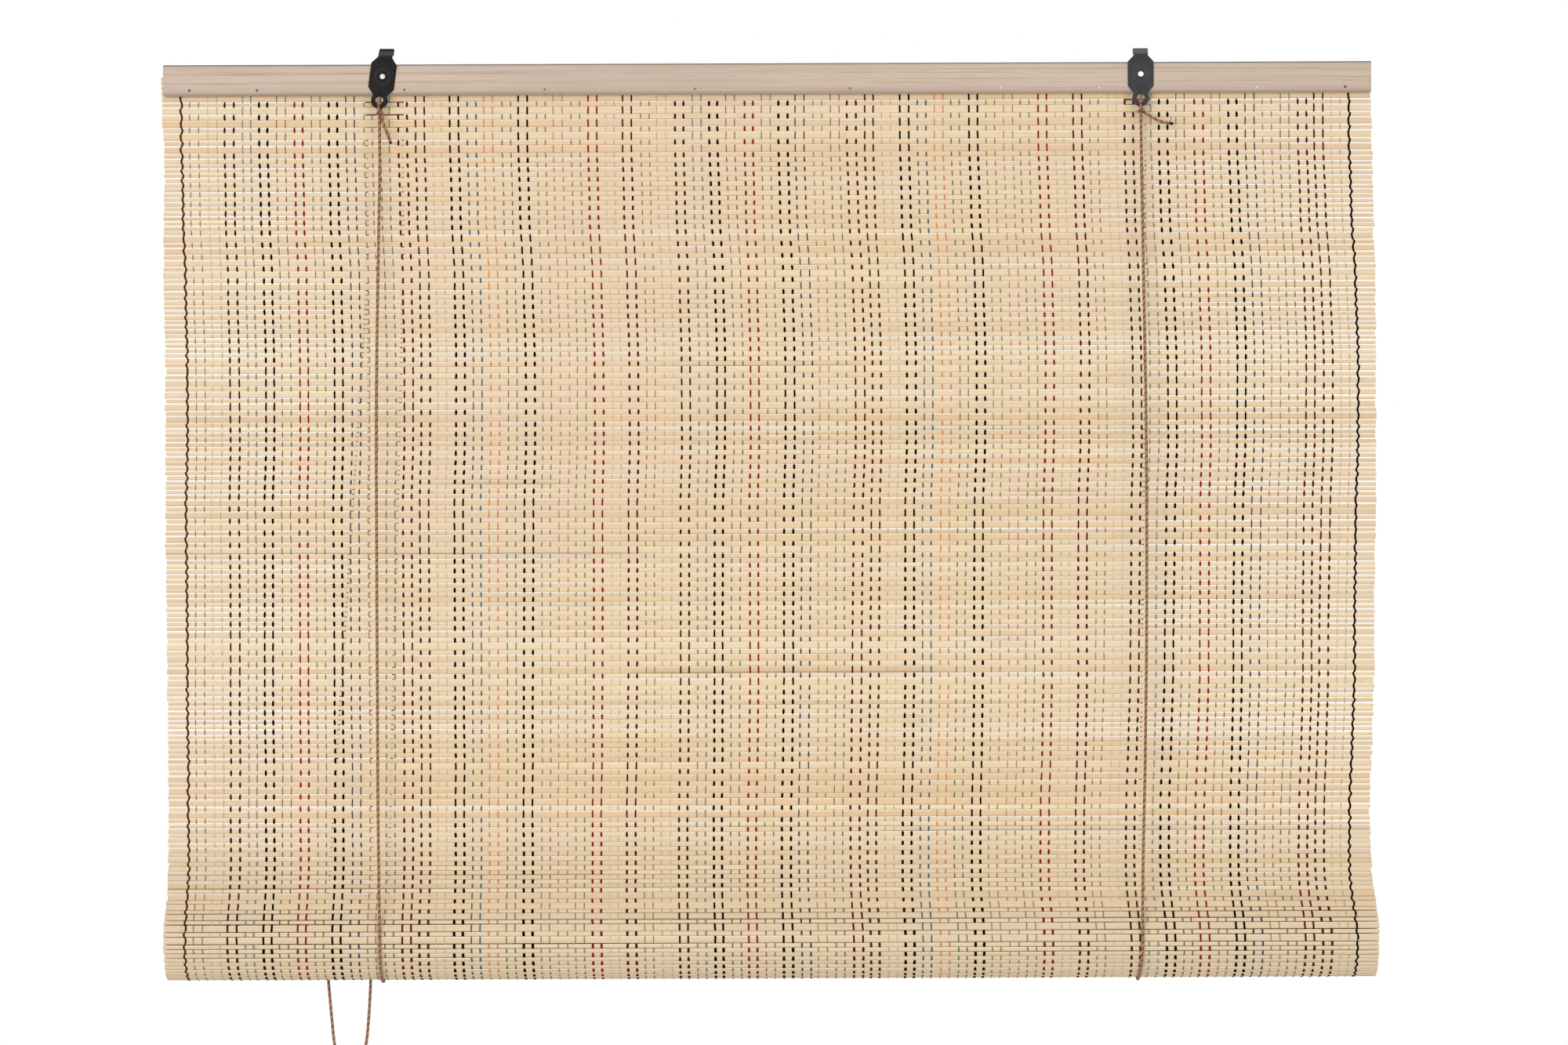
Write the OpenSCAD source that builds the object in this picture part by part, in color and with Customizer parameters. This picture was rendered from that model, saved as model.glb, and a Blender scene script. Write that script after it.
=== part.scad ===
// Bamboo roll up blind, hung by two steel hooks and held half raised by its lift cords.
// Frame: X along the rail, front faces -Y, +Z up, origin on the line of both hooks at mid width.
// All sizes in millimetres.

/* [Blind] */
// Width of the rail and of the mat
blind_w = 1200; // [1000:10:1600]
// Height from the hook line down to the axis of the rolled mat
roll_drop = 878; // [700:2:1100]
// Length of mat wound into the roll
rolled_len = 900; // [600:10:1100]
// Radius of the hollow at the heart of the roll, to the middle of the mat
core_r = 16.5; // [15.5:0.1:22]
// Distance from one turn of the roll to the next
turn_pitch = 5.2; // [4:0.1:6.5]
// Lean of the mat where it meets the roll, in degrees
lean = 42; // [30:1:55]

/* [Slats] */
// Width of a wide slat
slat_wide = 6.5; // [5:0.1:9]
// Width of a narrow slat
slat_narrow = 4; // [3:0.1:5]
// Open gap between two slats
slat_gap = 0.76; // [0.5:0.02:1.2]
// Thickness of a slat
slat_t = 1.6; // [1.2:0.1:1.8]
// Thickness of the thread bridge between two slats
bridge_t = 0.7; // [0.4:0.1:1]
// Height of mat held behind the rail
mat_tuck = 18; // [14:0.5:22]

/* [Threads] */
// Distance between two warp threads
thread_pitch = 8.61; // [8:0.01:9]
// Distance from the mat's left edge to its first coloured thread
thread_inset = 28.5; // [20:0.5:32]
// Width of a thread
thread_w = 0.9; // [0.6:0.1:1.4]
// Thickness of a thread on the face of the slats
thread_t = 0.4; // [0.2:0.1:0.6]

/* [Rail] */
// Height of the front rail
rail_h = 32; // [30:0.5:40]
// Thickness of the front rail
rail_t = 12; // [10:0.5:16]
// Radius of the rail's long front edges
rail_round = 4; // [1:0.5:5]
// Height of the back lath
lath_h = 25; // [24:0.5:26]
// Thickness of the back lath
lath_t = 8; // [7:0.5:12]
// Room between rail and lath that the mat lies in
mat_room = 2; // [1.9:0.1:3]

/* [Brackets] */
// Place of the left bracket's screw along the rail
left_bracket_x = -382; // [-430:1:-300]
// Place of the right bracket's screw along the rail
right_bracket_x = 371; // [300:1:430]
// Tilt of the left bracket about its screw, in degrees
left_tilt = 7.5; // [0:0.5:10]
// Thickness of the steel
steel_t = 1.2; // [1:0.1:1.6]
// Inside radius of the hook
hook_r = 4; // [3:0.1:4.5]
// Width of the hook's tab
tab_w = 14.5; // [10:0.5:18]
// Width of the bracket plate
plate_w = 25.6; // [22:0.2:30]
// Outside radius of the cord eye
eye_r = 8.4; // [7.6:0.1:9]
// Radius of the hole in the cord eye
eye_hole_r = 3.9; // [3.8:0.1:4.2]

/* [Pulleys] */
// Width of the right pulley plate
right_plate_w = 25; // [22:0.5:30]
// Width of the left pulley plate
left_plate_w = 38; // [37.5:0.5:44]
// Radius of a wheel's flange
wheel_r = 9; // [8.5:0.1:9.4]
// Radius of the flat groove floor of a wheel
groove_r = 6.4; // [5.5:0.1:7]
// Width of a wheel
wheel_w = 10; // [9.8:0.1:11]
// Radius of a wheel pin
pin_r = 2; // [1.6:0.1:2.6]
// Clearance between a pin and its wheel
pin_gap = 0.06; // [0.02:0.01:0.1]

/* [Cords] */
// Diameter of the cord
cord_d = 3; // [2.4:0.1:3]
// Radius of the put away coil to the middle of its turns
coil_r = 18; // [15:0.5:22]

/* [Hidden] */
$fn = 64;
clear = 0.3;
// Rail, mat and lath, front to back
rail_y = -hook_r;
rail_top = -8.5;
rail_low = rail_top - rail_h;
mat_y = rail_y + rail_t + mat_room / 2;
lath_y = rail_y + rail_t + mat_room;
lath_back = lath_y + lath_t;
lath_top = rail_top - 4.5;
// Bracket heights below the hook line
shoulder_z = -2.6;
screw_z = -21;
screw_head_r = 2.9;
plate_low_z = -32.6;
neck_z = -39.6;
eye_z = -44.8;
// Nails, at places chosen as a maker would drive them, each a share of the way from the middle to the outer ones
brad_inset = 26;
brad_shares = [-1, -0.883, -0.628, -0.385, -0.125, 0.143, 0.404, 0.575, 0.847, 1];
brad_x = [for (share = brad_shares) share * (blind_w / 2 - brad_inset)];
brad_z = rail_low + 6.3;
brad_end = lath_back - 2;
// Slats repeat as nine in turn wide and narrow, then sixteen narrow, with one more narrow in the first repeat
repeat_n = 25;
first_repeat_n = 26;
turn_n = 9;
// Narrow slats above the first wide one, behind the rail
lead_n = 4;
// Roll
roll_r = sqrt(core_r * core_r + rolled_len * turn_pitch / PI);
roll_y = mat_y;
roll_z = -roll_drop;
// Turn of the mat onto the roll
bend_r = roll_r * cos(lean) / (1 - cos(lean));
bend_top = roll_z + (roll_r + bend_r) * sin(lean);
bend_len = bend_r * lean * PI / 180;
mat_top = rail_low + mat_tuck;
flat_len = mat_top - bend_top;
mat_len = flat_len + bend_len + rolled_len;
batten_w = 30;
batten_t = 8;
// Slats along the mat: start of each, measured down the mat from its top edge
slat_starts = [for (k = 0, s = 0; s + slat_w(k) <= mat_len; s = s + slat_w(k) + slat_gap, k = k + 1) s];
slat_count = len(slat_starts);
flat_n = len([for (k = [0:slat_count - 1]) if (slat_starts[k] + slat_w(k) <= flat_len) k]);
bend_n = len([for (k = [0:slat_count - 1]) if (slat_starts[k] + slat_w(k) <= flat_len + bend_len) k]);
// Warp thread pairs, left to right, repeating
thread_order = [
    "tan", "cream", "brown", "blue", "black", "tan", "red", "tan", "black", "blue", "tan", "green", "maroon",
    "brown", "cream", "black", "blue", "orange", "green", "black", "tan", "pink", "green", "red", "cream", "maroon"
];
last_thread_inset = 24;
thread_n = floor((blind_w - thread_inset - last_thread_inset) / thread_pitch) + 1;
left_edge_inset = 17;
right_edge_inset = 19.5;
// Width of mat that an edge thread and its partner hold together in a gap
edge_hold_w = 3;
// Pulleys
wheel_z = -44;
wheel_y = lath_back + steel_t + 0.4;
wheel_gap = 0.7;
right_wheel_x = right_bracket_x - 1.5;
left_inner_x = left_bracket_x - 0.4 + wheel_r + wheel_gap;
left_outer_x = left_bracket_x - 0.4 - wheel_r - wheel_gap;
plate_top = lath_top - 1;
right_plate_low = -65;
left_plate_low = -71.5;
block_screw_z = [-18, -28];
// Cords
cord_r = cord_d / 2;
wrap_r = groove_r + clear + cord_r;
near_cord_y = wheel_y + wheel_w / 2 - 1.7;
far_cord_y = wheel_y + wheel_w / 2 + 1.7;
left_eye_x = left_bracket_x + (eye_z - screw_z) * sin(left_tilt);
left_eye_z = screw_z + (eye_z - screw_z) * cos(left_tilt);
plate_y = rail_y - steel_t / 2;
loop_r = (eye_r - eye_hole_r) / 2 + 0.4 + cord_r;
knot_drop = 13.5;
knot_neck = 5;
left_front_z = left_eye_z - knot_drop - knot_neck;
right_front_z = eye_z - knot_drop - knot_neck;
// Slings follow the outer turn from front to back
sling_r = (turn_r(lean) + turn_r(lean + 180)) / 2 + slat_t / 2 + clear + cord_r;
sling_y = roll_y - (turn_r(lean) - turn_r(lean + 180)) / 2;
// Pull strands behind the blind: x at the roll, x at the coil, and their common depth
strand_y = sling_y + sling_r + 0.4;
left_strand_x = -447;
right_strand_x = -400;
coil_x = -422;
coil_drop = 197;
coil_z = roll_z - coil_drop;
coil_radial = 13;
coil_axial = 16;
coil_top_z = coil_z + coil_r + coil_radial / 2;

// Pattern of the slats
function is_wide(k) =
    let (i = k - lead_n, place = i < first_repeat_n ? i : (i - first_repeat_n) % repeat_n)
    place >= 0 && place < turn_n && place % 2 == 0;
function slat_w(k) = is_wide(k) ? slat_wide : slat_narrow;

// Path of the mat in the Y Z plane: straight, bend, then the turns of the roll
function turn_angle(s) = (roll_r - sqrt(max(0, roll_r * roll_r - turn_pitch * s / PI))) * 360 / turn_pitch;
function turn_r(angle) = roll_r - turn_pitch * angle / 360;
function bend_point(angle) = [mat_y - bend_r * (1 - cos(angle)), bend_top - bend_r * sin(angle)];
function turn_point(angle) =
    [roll_y - turn_r(angle) * cos(lean - angle), roll_z + turn_r(angle) * sin(lean - angle)];
function mat_point(s) =
    s <= flat_len ? [mat_y, mat_top - s]
    : s <= flat_len + bend_len ? bend_point((s - flat_len) / bend_r * 180 / PI)
    : turn_point(turn_angle(s - flat_len - bend_len));

// Outward normal of slat k, and its two edges on the path
function slat_top(k) = mat_point(slat_starts[k]);
function slat_end(k) = mat_point(slat_starts[k] + slat_w(k));
function slat_normal(k) =
    let (d = slat_end(k) - slat_top(k))
    [d[1], -d[0]] / norm(d);

// One face of a run of slats, side 1 outside and side -1 inside
function face_points(first, last, side) = [
    for (k = [first:last])
        let (n = slat_normal(k) * side)
        each [
            slat_top(k) + n * (k == first ? slat_t : bridge_t) / 2,
            slat_top(k) + n * slat_t / 2,
            slat_end(k) + n * slat_t / 2,
            slat_end(k) + n * (k == last ? slat_t : bridge_t) / 2
        ]
];
function backward(list) = [for (i = [len(list) - 1:-1:0]) list[i]];
// Drops a point that repeats the one before it
function distinct(list) = [for (i = [0:len(list) - 1]) if (i == 0 || norm(list[i] - list[i - 1]) > 0.001) list[i]];

// Turns an outline drawn as Y and Z into a bar along X
module bar_along_x(length) {
    rotate([90, 0, 90]) linear_extrude(height = length, center = true) children();
}

// Turns an outline drawn as X and Z into a plate that runs back from y
module plate_back_from(y, thickness) {
    translate([0, y + thickness, 0]) rotate([90, 0, 0]) linear_extrude(height = thickness) children();
}

// Round bar from point a to point b
module rod(a, b, r) {
    d = b - a;
    flat = norm([d[0], d[1]]);
    translate(a) rotate([0, atan2(flat, d[2]), atan2(d[1], d[0])]) cylinder(h = norm(d), r = r);
}

// Round bar that points back along Y
module rod_back(x, y, z, length, r) {
    translate([x, y, z]) rotate([-90, 0, 0]) cylinder(h = length, r = r);
}

// Mat between two slats
module mat_strip(first, last) {
    bar_along_x(blind_w)
        polygon(distinct(concat(face_points(first, last, 1), backward(face_points(first, last, -1)))));
}

module head_rail() {
    color("#cdbba5") difference() {
        bar_along_x(blind_w) {
            translate([rail_y + rail_round, rail_low]) square([rail_t - rail_round, rail_h]);
            translate([rail_y, rail_low + rail_round]) square([rail_t, rail_h - 2 * rail_round]);
            translate([rail_y + rail_round, rail_low + rail_round]) circle(r = rail_round);
            translate([rail_y + rail_round, rail_top - rail_round]) circle(r = rail_round);
        }
        for (x = brad_x) {
            rod_back(x, rail_y - 1, brad_z, rail_t + 2, 0.75);
            rod_back(x, rail_y - 1, brad_z, 2.1, 1.3);
        }
        for (x = [left_bracket_x, right_bracket_x]) rod_back(x, rail_y - 1, screw_z, 11.2, 1.8);
    }
}

module back_lath() {
    color("#c8b08c") difference() {
        bar_along_x(blind_w) translate([lath_y, lath_top - lath_h]) square([lath_t, lath_h]);
        for (x = brad_x) rod_back(x, lath_y - 1, brad_z, brad_end - lath_y + 1.2, 0.75);
        for (x = [left_bracket_x - 0.4, right_wheel_x], z = block_screw_z)
            rod_back(x, lath_back - 6.2, z, 8, 1.45);
    }
}

module rail_brads() {
    color("#8a8276") for (x = brad_x) {
        rod_back(x, rail_y + 0.2, brad_z, 0.8, 1.2);
        rod_back(x, rail_y + 0.9, brad_z, brad_end - rail_y - 0.9, 0.7);
    }
}

// Steel bracket about its own screw: hook over the top, plate, and cord eye below
module bracket() {
    half = plate_w / 2;
    translate([0, 0, -screw_z]) {
        difference() {
            plate_back_from(rail_y - steel_t, steel_t) {
                polygon([
                    [-tab_w / 2, 0], [-tab_w / 2, shoulder_z], [-half, rail_top], [-half, plate_low_z],
                    [-7.2, neck_z], [7.2, neck_z], [half, plate_low_z], [half, rail_top],
                    [tab_w / 2, shoulder_z], [tab_w / 2, 0]
                ]);
                translate([0, eye_z]) circle(r = eye_r);
            }
            rod_back(0, rail_y - steel_t - 1, eye_z, steel_t + 2, eye_hole_r);
            rod_back(0, rail_y - steel_t - 1, screw_z, steel_t + 2, 2);
        }
        rotate([0, 90, 0]) rotate([0, 0, 90])
            rotate_extrude(angle = 180) translate([hook_r, -tab_w / 2]) square([steel_t, tab_w]);
    }
}

module left_bracket() {
    color("#232325") translate([left_bracket_x, 0, screw_z]) rotate([0, left_tilt, 0]) bracket();
}

module right_bracket() {
    color("#2b2b2d") translate([right_bracket_x, 0, screw_z]) bracket();
}

module bracket_screw(x) {
    color("#d8d8da") {
        rod_back(x, rail_y - steel_t - 1.6, screw_z, 1.6, screw_head_r);
        rod_back(x, rail_y - steel_t - 0.1, screw_z, steel_t + 10.1, 1.75);
    }
}

module left_bracket_screw() {
    bracket_screw(left_bracket_x);
}

module right_bracket_screw() {
    bracket_screw(right_bracket_x);
}

// Steel plate behind the lath that carries wheels on riveted pins
module pulley_plate(x, width, low, pins) {
    color("#232325") difference() {
        plate_back_from(lath_back, steel_t) {
            translate([x - width / 2, low + 6]) square([width, plate_top - low - 6]);
            translate([x - width / 2 + 6, low]) square([width - 12, 6]);
            for (side = [-1, 1]) translate([x + side * (width / 2 - 6), low + 6]) circle(r = 6);
        }
        for (p = pins) rod_back(p, lath_back - 1, wheel_z, steel_t + 2, pin_r + 0.05);
        for (z = block_screw_z) rod_back(x, lath_back - 1, z, steel_t + 2, 1.6);
    }
}

module left_pulley_plate() {
    pulley_plate(left_bracket_x - 0.4, left_plate_w, left_plate_low, [left_outer_x, left_inner_x]);
}

module right_pulley_plate() {
    pulley_plate(right_wheel_x, right_plate_w, right_plate_low, [right_wheel_x]);
}

module pulley_screws() {
    color("#c9c9cc") for (x = [left_bracket_x - 0.4, right_wheel_x], z = block_screw_z) {
        rod_back(x, lath_back + steel_t, z, 1.5, 2.8);
        rod_back(x, lath_back - 6, z, steel_t + 6.1, 1.4);
    }
}

module wheel_pin(x) {
    color("#b5b5b8") {
        rod_back(x, lath_back - 1.2, wheel_z, 1.2, 3.2);
        rod_back(x, lath_back - 0.1, wheel_z, wheel_y + wheel_w + 0.6 - lath_back, pin_r);
        rod_back(x, wheel_y + wheel_w + 0.4, wheel_z, 1.2, 3.6);
    }
}

module left_wheel_pins() {
    wheel_pin(left_outer_x);
    wheel_pin(left_inner_x);
}

module right_wheel_pin() {
    wheel_pin(right_wheel_x);
}

module wheel(x) {
    bore = pin_r + pin_gap;
    color("#d9d4c4") translate([x, wheel_y, wheel_z]) rotate([-90, 0, 0]) rotate_extrude() polygon([
        [bore, 0], [wheel_r, 0], [wheel_r, 1.1], [groove_r, 1.5], [groove_r, wheel_w - 1.5],
        [wheel_r, wheel_w - 1.1], [wheel_r, wheel_w], [bore, wheel_w]
    ]);
}

module left_outer_wheel() {
    wheel(left_outer_x);
}

module left_inner_wheel() {
    wheel(left_inner_x);
}

module right_wheel() {
    wheel(right_wheel_x);
}

// Cuts the gap above slat k open from x to x
module slit(k, from_x, to_x) {
    translate([from_x, mat_y - slat_t, mat_top - slat_starts[k]]) cube([to_x - from_x, 2 * slat_t, slat_gap]);
}

// Slats below the rail are held together at the two edge threads, and their ends are free
module hanging_mat() {
    mat_end = blind_w / 2;
    left_hold = -mat_end + left_edge_inset;
    right_hold = mat_end - right_edge_inset;
    half_hold = edge_hold_w / 2;
    color("#e6d2a4") difference() {
        mat_strip(0, flat_n - 1);
        for (k = [lead_n + 1:flat_n - 1]) {
            slit(k, -mat_end - 1, left_hold - half_hold);
            slit(k, left_hold + half_hold, right_hold - half_hold);
            slit(k, right_hold + half_hold, mat_end + 1);
        }
        for (x = brad_x) rod_back(x, mat_y - 3, brad_z, 6, 0.9);
    }
}

module mat_bend() {
    color("#e2cda0") mat_strip(flat_n, bend_n - 1);
}

module rolled_mat() {
    color("#dccca5") mat_strip(bend_n, slat_count - 1);
}

// Lath at the mat's lower end, at the heart of the roll with one edge on the last slats
module bottom_batten() {
    end_angle = lean - turn_angle(rolled_len - slat_wide);
    color("#c8b08c") translate([0, roll_y, roll_z]) rotate([180 - end_angle, 0, 0])
        cube([blind_w, batten_w, batten_t], center = true);
}

// Warp threads of one colour, as they lie on the face of the hanging slats
module warp_threads(name, shade) {
    color(shade) for (i = [0:thread_n - 1])
        if (thread_order[floor(i / 2) % len(thread_order)] == name)
            thread(-blind_w / 2 + thread_inset + i * thread_pitch);
}

module thread(x) {
    translate([x - thread_w / 2, mat_y - slat_t / 2 - thread_t, bend_top + 1])
        cube([thread_w, thread_t, rail_low - 0.5 - bend_top - 1]);
}

module black_threads() {
    warp_threads("black", "#1e1410");
}

module brown_threads() {
    warp_threads("brown", "#4b2814");
}

module maroon_threads() {
    warp_threads("maroon", "#782323");
}

module red_threads() {
    warp_threads("red", "#be2828");
}

module orange_threads() {
    warp_threads("orange", "#eb8c46");
}

module pink_threads() {
    warp_threads("pink", "#be827d");
}

module blue_threads() {
    warp_threads("blue", "#466082");
}

module green_threads() {
    warp_threads("green", "#78825f");
}

module tan_threads() {
    warp_threads("tan", "#bea069");
}

module cream_threads() {
    warp_threads("cream", "#f0e1c3");
}

module left_edge_thread() {
    color("#5a3219") thread(-blind_w / 2 + left_edge_inset);
}

module right_edge_thread() {
    color("#1e1410") thread(blind_w / 2 - right_edge_inset);
}

// Cord tied through a bracket eye: loop round the rim, knot, neck, and a cut tail
module knot(x, z, tail) {
    rim_z = z - (eye_r + eye_hole_r) / 2;
    knot_z = z - knot_drop;
    color("#a57355") {
        translate([x, plate_y, rim_z]) rotate([0, 90, 0])
            rotate_extrude() translate([loop_r, 0]) circle(r = cord_r);
        translate([x, plate_y, knot_z]) sphere(r = cord_d);
        rod([x, plate_y, knot_z], [x, plate_y, knot_z - knot_neck], cord_r);
        rod([x, plate_y, knot_z], [x, plate_y, knot_z] + tail, cord_r);
    }
}

module left_knot() {
    knot(left_eye_x, left_eye_z, [12, -1.5, -29]);
}

module right_knot() {
    knot(right_bracket_x, eye_z, [31, -2, -11]);
}

// Point where a straight cord from [y, z] meets a sling, on its front (1) or back (-1)
function sling_angle(y, z, side) =
    let (d = [y - sling_y, z - roll_z])
    atan2(d[1], d[0]) + side * acos(sling_r / norm(d));
function sling_point(x, angle) =
    [x, sling_y + sling_r * cos(angle), roll_z + sling_r * sin(angle)];
// Cord end that stops short of the one it meets
function short_of(a, b) = b - (b - a) * clear / norm(b - a);

module front_cord(x, z) {
    start = [x, plate_y, z];
    meet = sling_point(x, sling_angle(plate_y, z, 1));
    color("#a57355") rod(start, short_of(start, meet), cord_r);
}

module back_cord(x, wheel_x, cord_y) {
    start = [wheel_x + wrap_r, cord_y, wheel_z];
    meet = sling_point(x, sling_angle(cord_y, wheel_z, -1));
    color("#a57355") rod(start, short_of(start, meet), cord_r);
}

// Cord under the roll from its front to its back
module sling(x, front_z, cord_y) {
    front = sling_angle(plate_y, front_z, 1);
    back = sling_angle(cord_y, wheel_z, -1) + 360;
    color("#a57355") translate([x, sling_y, roll_z]) rotate([90, 0, 90]) rotate([0, 0, front])
        rotate_extrude(angle = back - front) translate([sling_r, 0]) circle(r = cord_r);
}

module left_front_cord() {
    front_cord(left_eye_x, left_front_z);
}

module right_front_cord() {
    front_cord(right_bracket_x, right_front_z);
}

module left_sling() {
    sling(left_eye_x, left_front_z, near_cord_y);
}

module right_sling() {
    sling(right_bracket_x, right_front_z, far_cord_y);
}

module left_back_cord() {
    back_cord(left_eye_x, left_inner_x, near_cord_y);
}

module right_back_cord() {
    back_cord(right_bracket_x, right_wheel_x, far_cord_y);
}

// Cord up one side of a wheel, along to the left, and down the far side of the outer left wheel
module over_wheels(from_x, cord_y) {
    color("#a57355") {
        wheel_wrap(from_x, cord_y, 0);
        rod([from_x, cord_y, wheel_z + wrap_r], [left_outer_x, cord_y, wheel_z + wrap_r], cord_r);
        wheel_wrap(left_outer_x, cord_y, 90);
    }
}

module wheel_wrap(x, cord_y, from) {
    translate([x, cord_y, wheel_z]) rotate([90, 0, 0]) rotate([0, 0, from])
        rotate_extrude(angle = 90) translate([wrap_r, 0]) circle(r = cord_r);
}

module left_lead_cord() {
    over_wheels(left_inner_x, near_cord_y);
}

module cross_cord() {
    over_wheels(right_wheel_x, far_cord_y);
}

module pull_strand(cord_y, roll_x) {
    color("#a57355") rod([left_outer_x - wrap_r, cord_y, wheel_z], [roll_x, strand_y, roll_z], cord_r);
}

module left_pull_strand() {
    pull_strand(far_cord_y, left_strand_x);
}

module right_pull_strand() {
    pull_strand(near_cord_y, right_strand_x);
}

// Both strands from the back of the roll down to the coil
module pull_loop() {
    color("#a57355") for (x = [left_strand_x, right_strand_x])
        rod([x, strand_y, roll_z - 0.2], [coil_x + sign(x - coil_x) * 4, strand_y, coil_top_z + 0.3], cord_r);
}

// Spare cord wound up
module pull_coil() {
    color("#a57355") translate([coil_x, strand_y, coil_z]) rotate([90, 0, 0])
        rotate_extrude() translate([coil_r - coil_radial / 2, -coil_axial / 2]) square([coil_radial, coil_axial]);
}

// Band that holds the coil's turns together at its foot
module coil_tie() {
    color("#3a3a3c") translate([coil_x, strand_y, coil_z - coil_r]) difference() {
        cube([6, coil_axial + 2.8, coil_radial + 3.6], center = true);
        cube([8, coil_axial + 0.4, coil_radial + 1.2], center = true);
    }
}

head_rail();
back_lath();
rail_brads();
left_bracket();
right_bracket();
left_bracket_screw();
right_bracket_screw();
left_pulley_plate();
right_pulley_plate();
pulley_screws();
left_wheel_pins();
right_wheel_pin();
left_outer_wheel();
left_inner_wheel();
right_wheel();
hanging_mat();
mat_bend();
rolled_mat();
bottom_batten();
black_threads();
brown_threads();
maroon_threads();
red_threads();
orange_threads();
pink_threads();
blue_threads();
green_threads();
tan_threads();
cream_threads();
left_edge_thread();
right_edge_thread();
left_knot();
right_knot();
left_front_cord();
right_front_cord();
left_sling();
right_sling();
left_back_cord();
right_back_cord();
left_lead_cord();
cross_cord();
left_pull_strand();
right_pull_strand();
pull_loop();
pull_coil();
coil_tie();
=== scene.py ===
"""Bamboo roll up blind: slats, woven threads, twisted cords and finishes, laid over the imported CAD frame."""

import math
import random

import bpy
import numpy as np
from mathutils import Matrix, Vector


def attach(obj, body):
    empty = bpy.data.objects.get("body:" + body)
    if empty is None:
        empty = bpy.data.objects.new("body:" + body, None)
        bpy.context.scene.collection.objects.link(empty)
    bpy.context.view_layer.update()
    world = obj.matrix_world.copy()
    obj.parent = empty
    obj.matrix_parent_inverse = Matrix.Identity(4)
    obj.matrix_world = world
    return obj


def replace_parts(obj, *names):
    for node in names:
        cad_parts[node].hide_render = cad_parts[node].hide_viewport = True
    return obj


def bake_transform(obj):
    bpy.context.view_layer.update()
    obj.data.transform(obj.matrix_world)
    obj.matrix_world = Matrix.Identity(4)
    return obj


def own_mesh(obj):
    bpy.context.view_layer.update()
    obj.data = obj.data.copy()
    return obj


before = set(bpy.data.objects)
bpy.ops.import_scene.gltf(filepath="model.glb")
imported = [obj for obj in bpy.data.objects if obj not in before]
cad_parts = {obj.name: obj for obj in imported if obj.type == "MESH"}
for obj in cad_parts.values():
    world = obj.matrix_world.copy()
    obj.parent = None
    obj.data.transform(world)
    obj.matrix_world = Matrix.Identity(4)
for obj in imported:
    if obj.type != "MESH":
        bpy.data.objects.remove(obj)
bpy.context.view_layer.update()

MM = 0.001
chance = random.Random(47)
# Range of a phase that is left to chance, in radians
FULL_TURN = 6.28

# Mat sizes, as in the part's source, in millimetres
BLIND_W = 1200.0
MAT_Y = 9.0
MAT_TOP = -22.5
ROLL_Y = 9.0
ROLL_Z = -878.0
LEAN = 42.0
ROLLED_LEN = 900.0
CORE_R = 16.5
TURN_PITCH = 5.2
SLAT_WIDE = 6.5
SLAT_NARROW = 4.0
SLAT_GAP = 0.76
SLAT_T = 1.6
# Numbers of slats: behind the rail, in each repeat, in the first repeat, and in a band with wide ones
LEAD_N = 4
REPEAT_N = 25
FIRST_REPEAT_N = 26
TURN_N = 9
# The roll, the bend that leads onto it, and the lengths that follow
ROLL_R = math.sqrt(CORE_R ** 2 + ROLLED_LEN * TURN_PITCH / math.pi)
BEND_R = ROLL_R * math.cos(math.radians(LEAN)) / (1 - math.cos(math.radians(LEAN)))
BEND_TOP = ROLL_Z + (ROLL_R + BEND_R) * math.sin(math.radians(LEAN))
BEND_LEN = BEND_R * math.radians(LEAN)
FLAT_LEN = MAT_TOP - BEND_TOP
MAT_LEN = FLAT_LEN + BEND_LEN + ROLLED_LEN

# Threads, left to right in pairs
THREAD_PITCH = 8.61
THREAD_INSET = 28.5
THREAD_N = 134

# Rise of the roll at the end of its travel
LIFT = 700.0


def srgb(red, green, blue):
    """A colour as seen on a screen, 0 to 255, as the linear colour that the shaders take."""
    def linear(value):
        share = value / 255
        return share / 12.92 if share <= 0.04045 else ((share + 0.055) / 1.055) ** 2.4
    return (linear(red), linear(green), linear(blue), 1.0)


# Shader wiring

class Wire:
    """An output socket whose arithmetic adds Math nodes to its own finish."""

    def __init__(self, finish, socket):
        self.finish = finish
        self.socket = socket

    def math(self, operation, first, second=0.0):
        return self.finish.node("ShaderNodeMath", {"operation": operation}, {0: first, 1: second})

    def __add__(self, other):
        return self.math("ADD", self, other)

    def __radd__(self, other):
        return self.math("ADD", other, self)

    def __sub__(self, other):
        return self.math("SUBTRACT", self, other)

    def __rsub__(self, other):
        return self.math("SUBTRACT", other, self)

    def __mul__(self, other):
        return self.math("MULTIPLY", self, other)

    def __rmul__(self, other):
        return self.math("MULTIPLY", other, self)

    def __abs__(self):
        return self.math("ABSOLUTE", self)

    def __mod__(self, other):
        return self.math("FLOORED_MODULO", self, other)

    def over(self, low, high):
        """Rises smoothly from 0 at low to 1 at high."""
        return self.finish.node(
            "ShaderNodeMapRange", {"interpolation_type": "SMOOTHSTEP"},
            {"Value": self, "From Min": low, "From Max": high})


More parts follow.
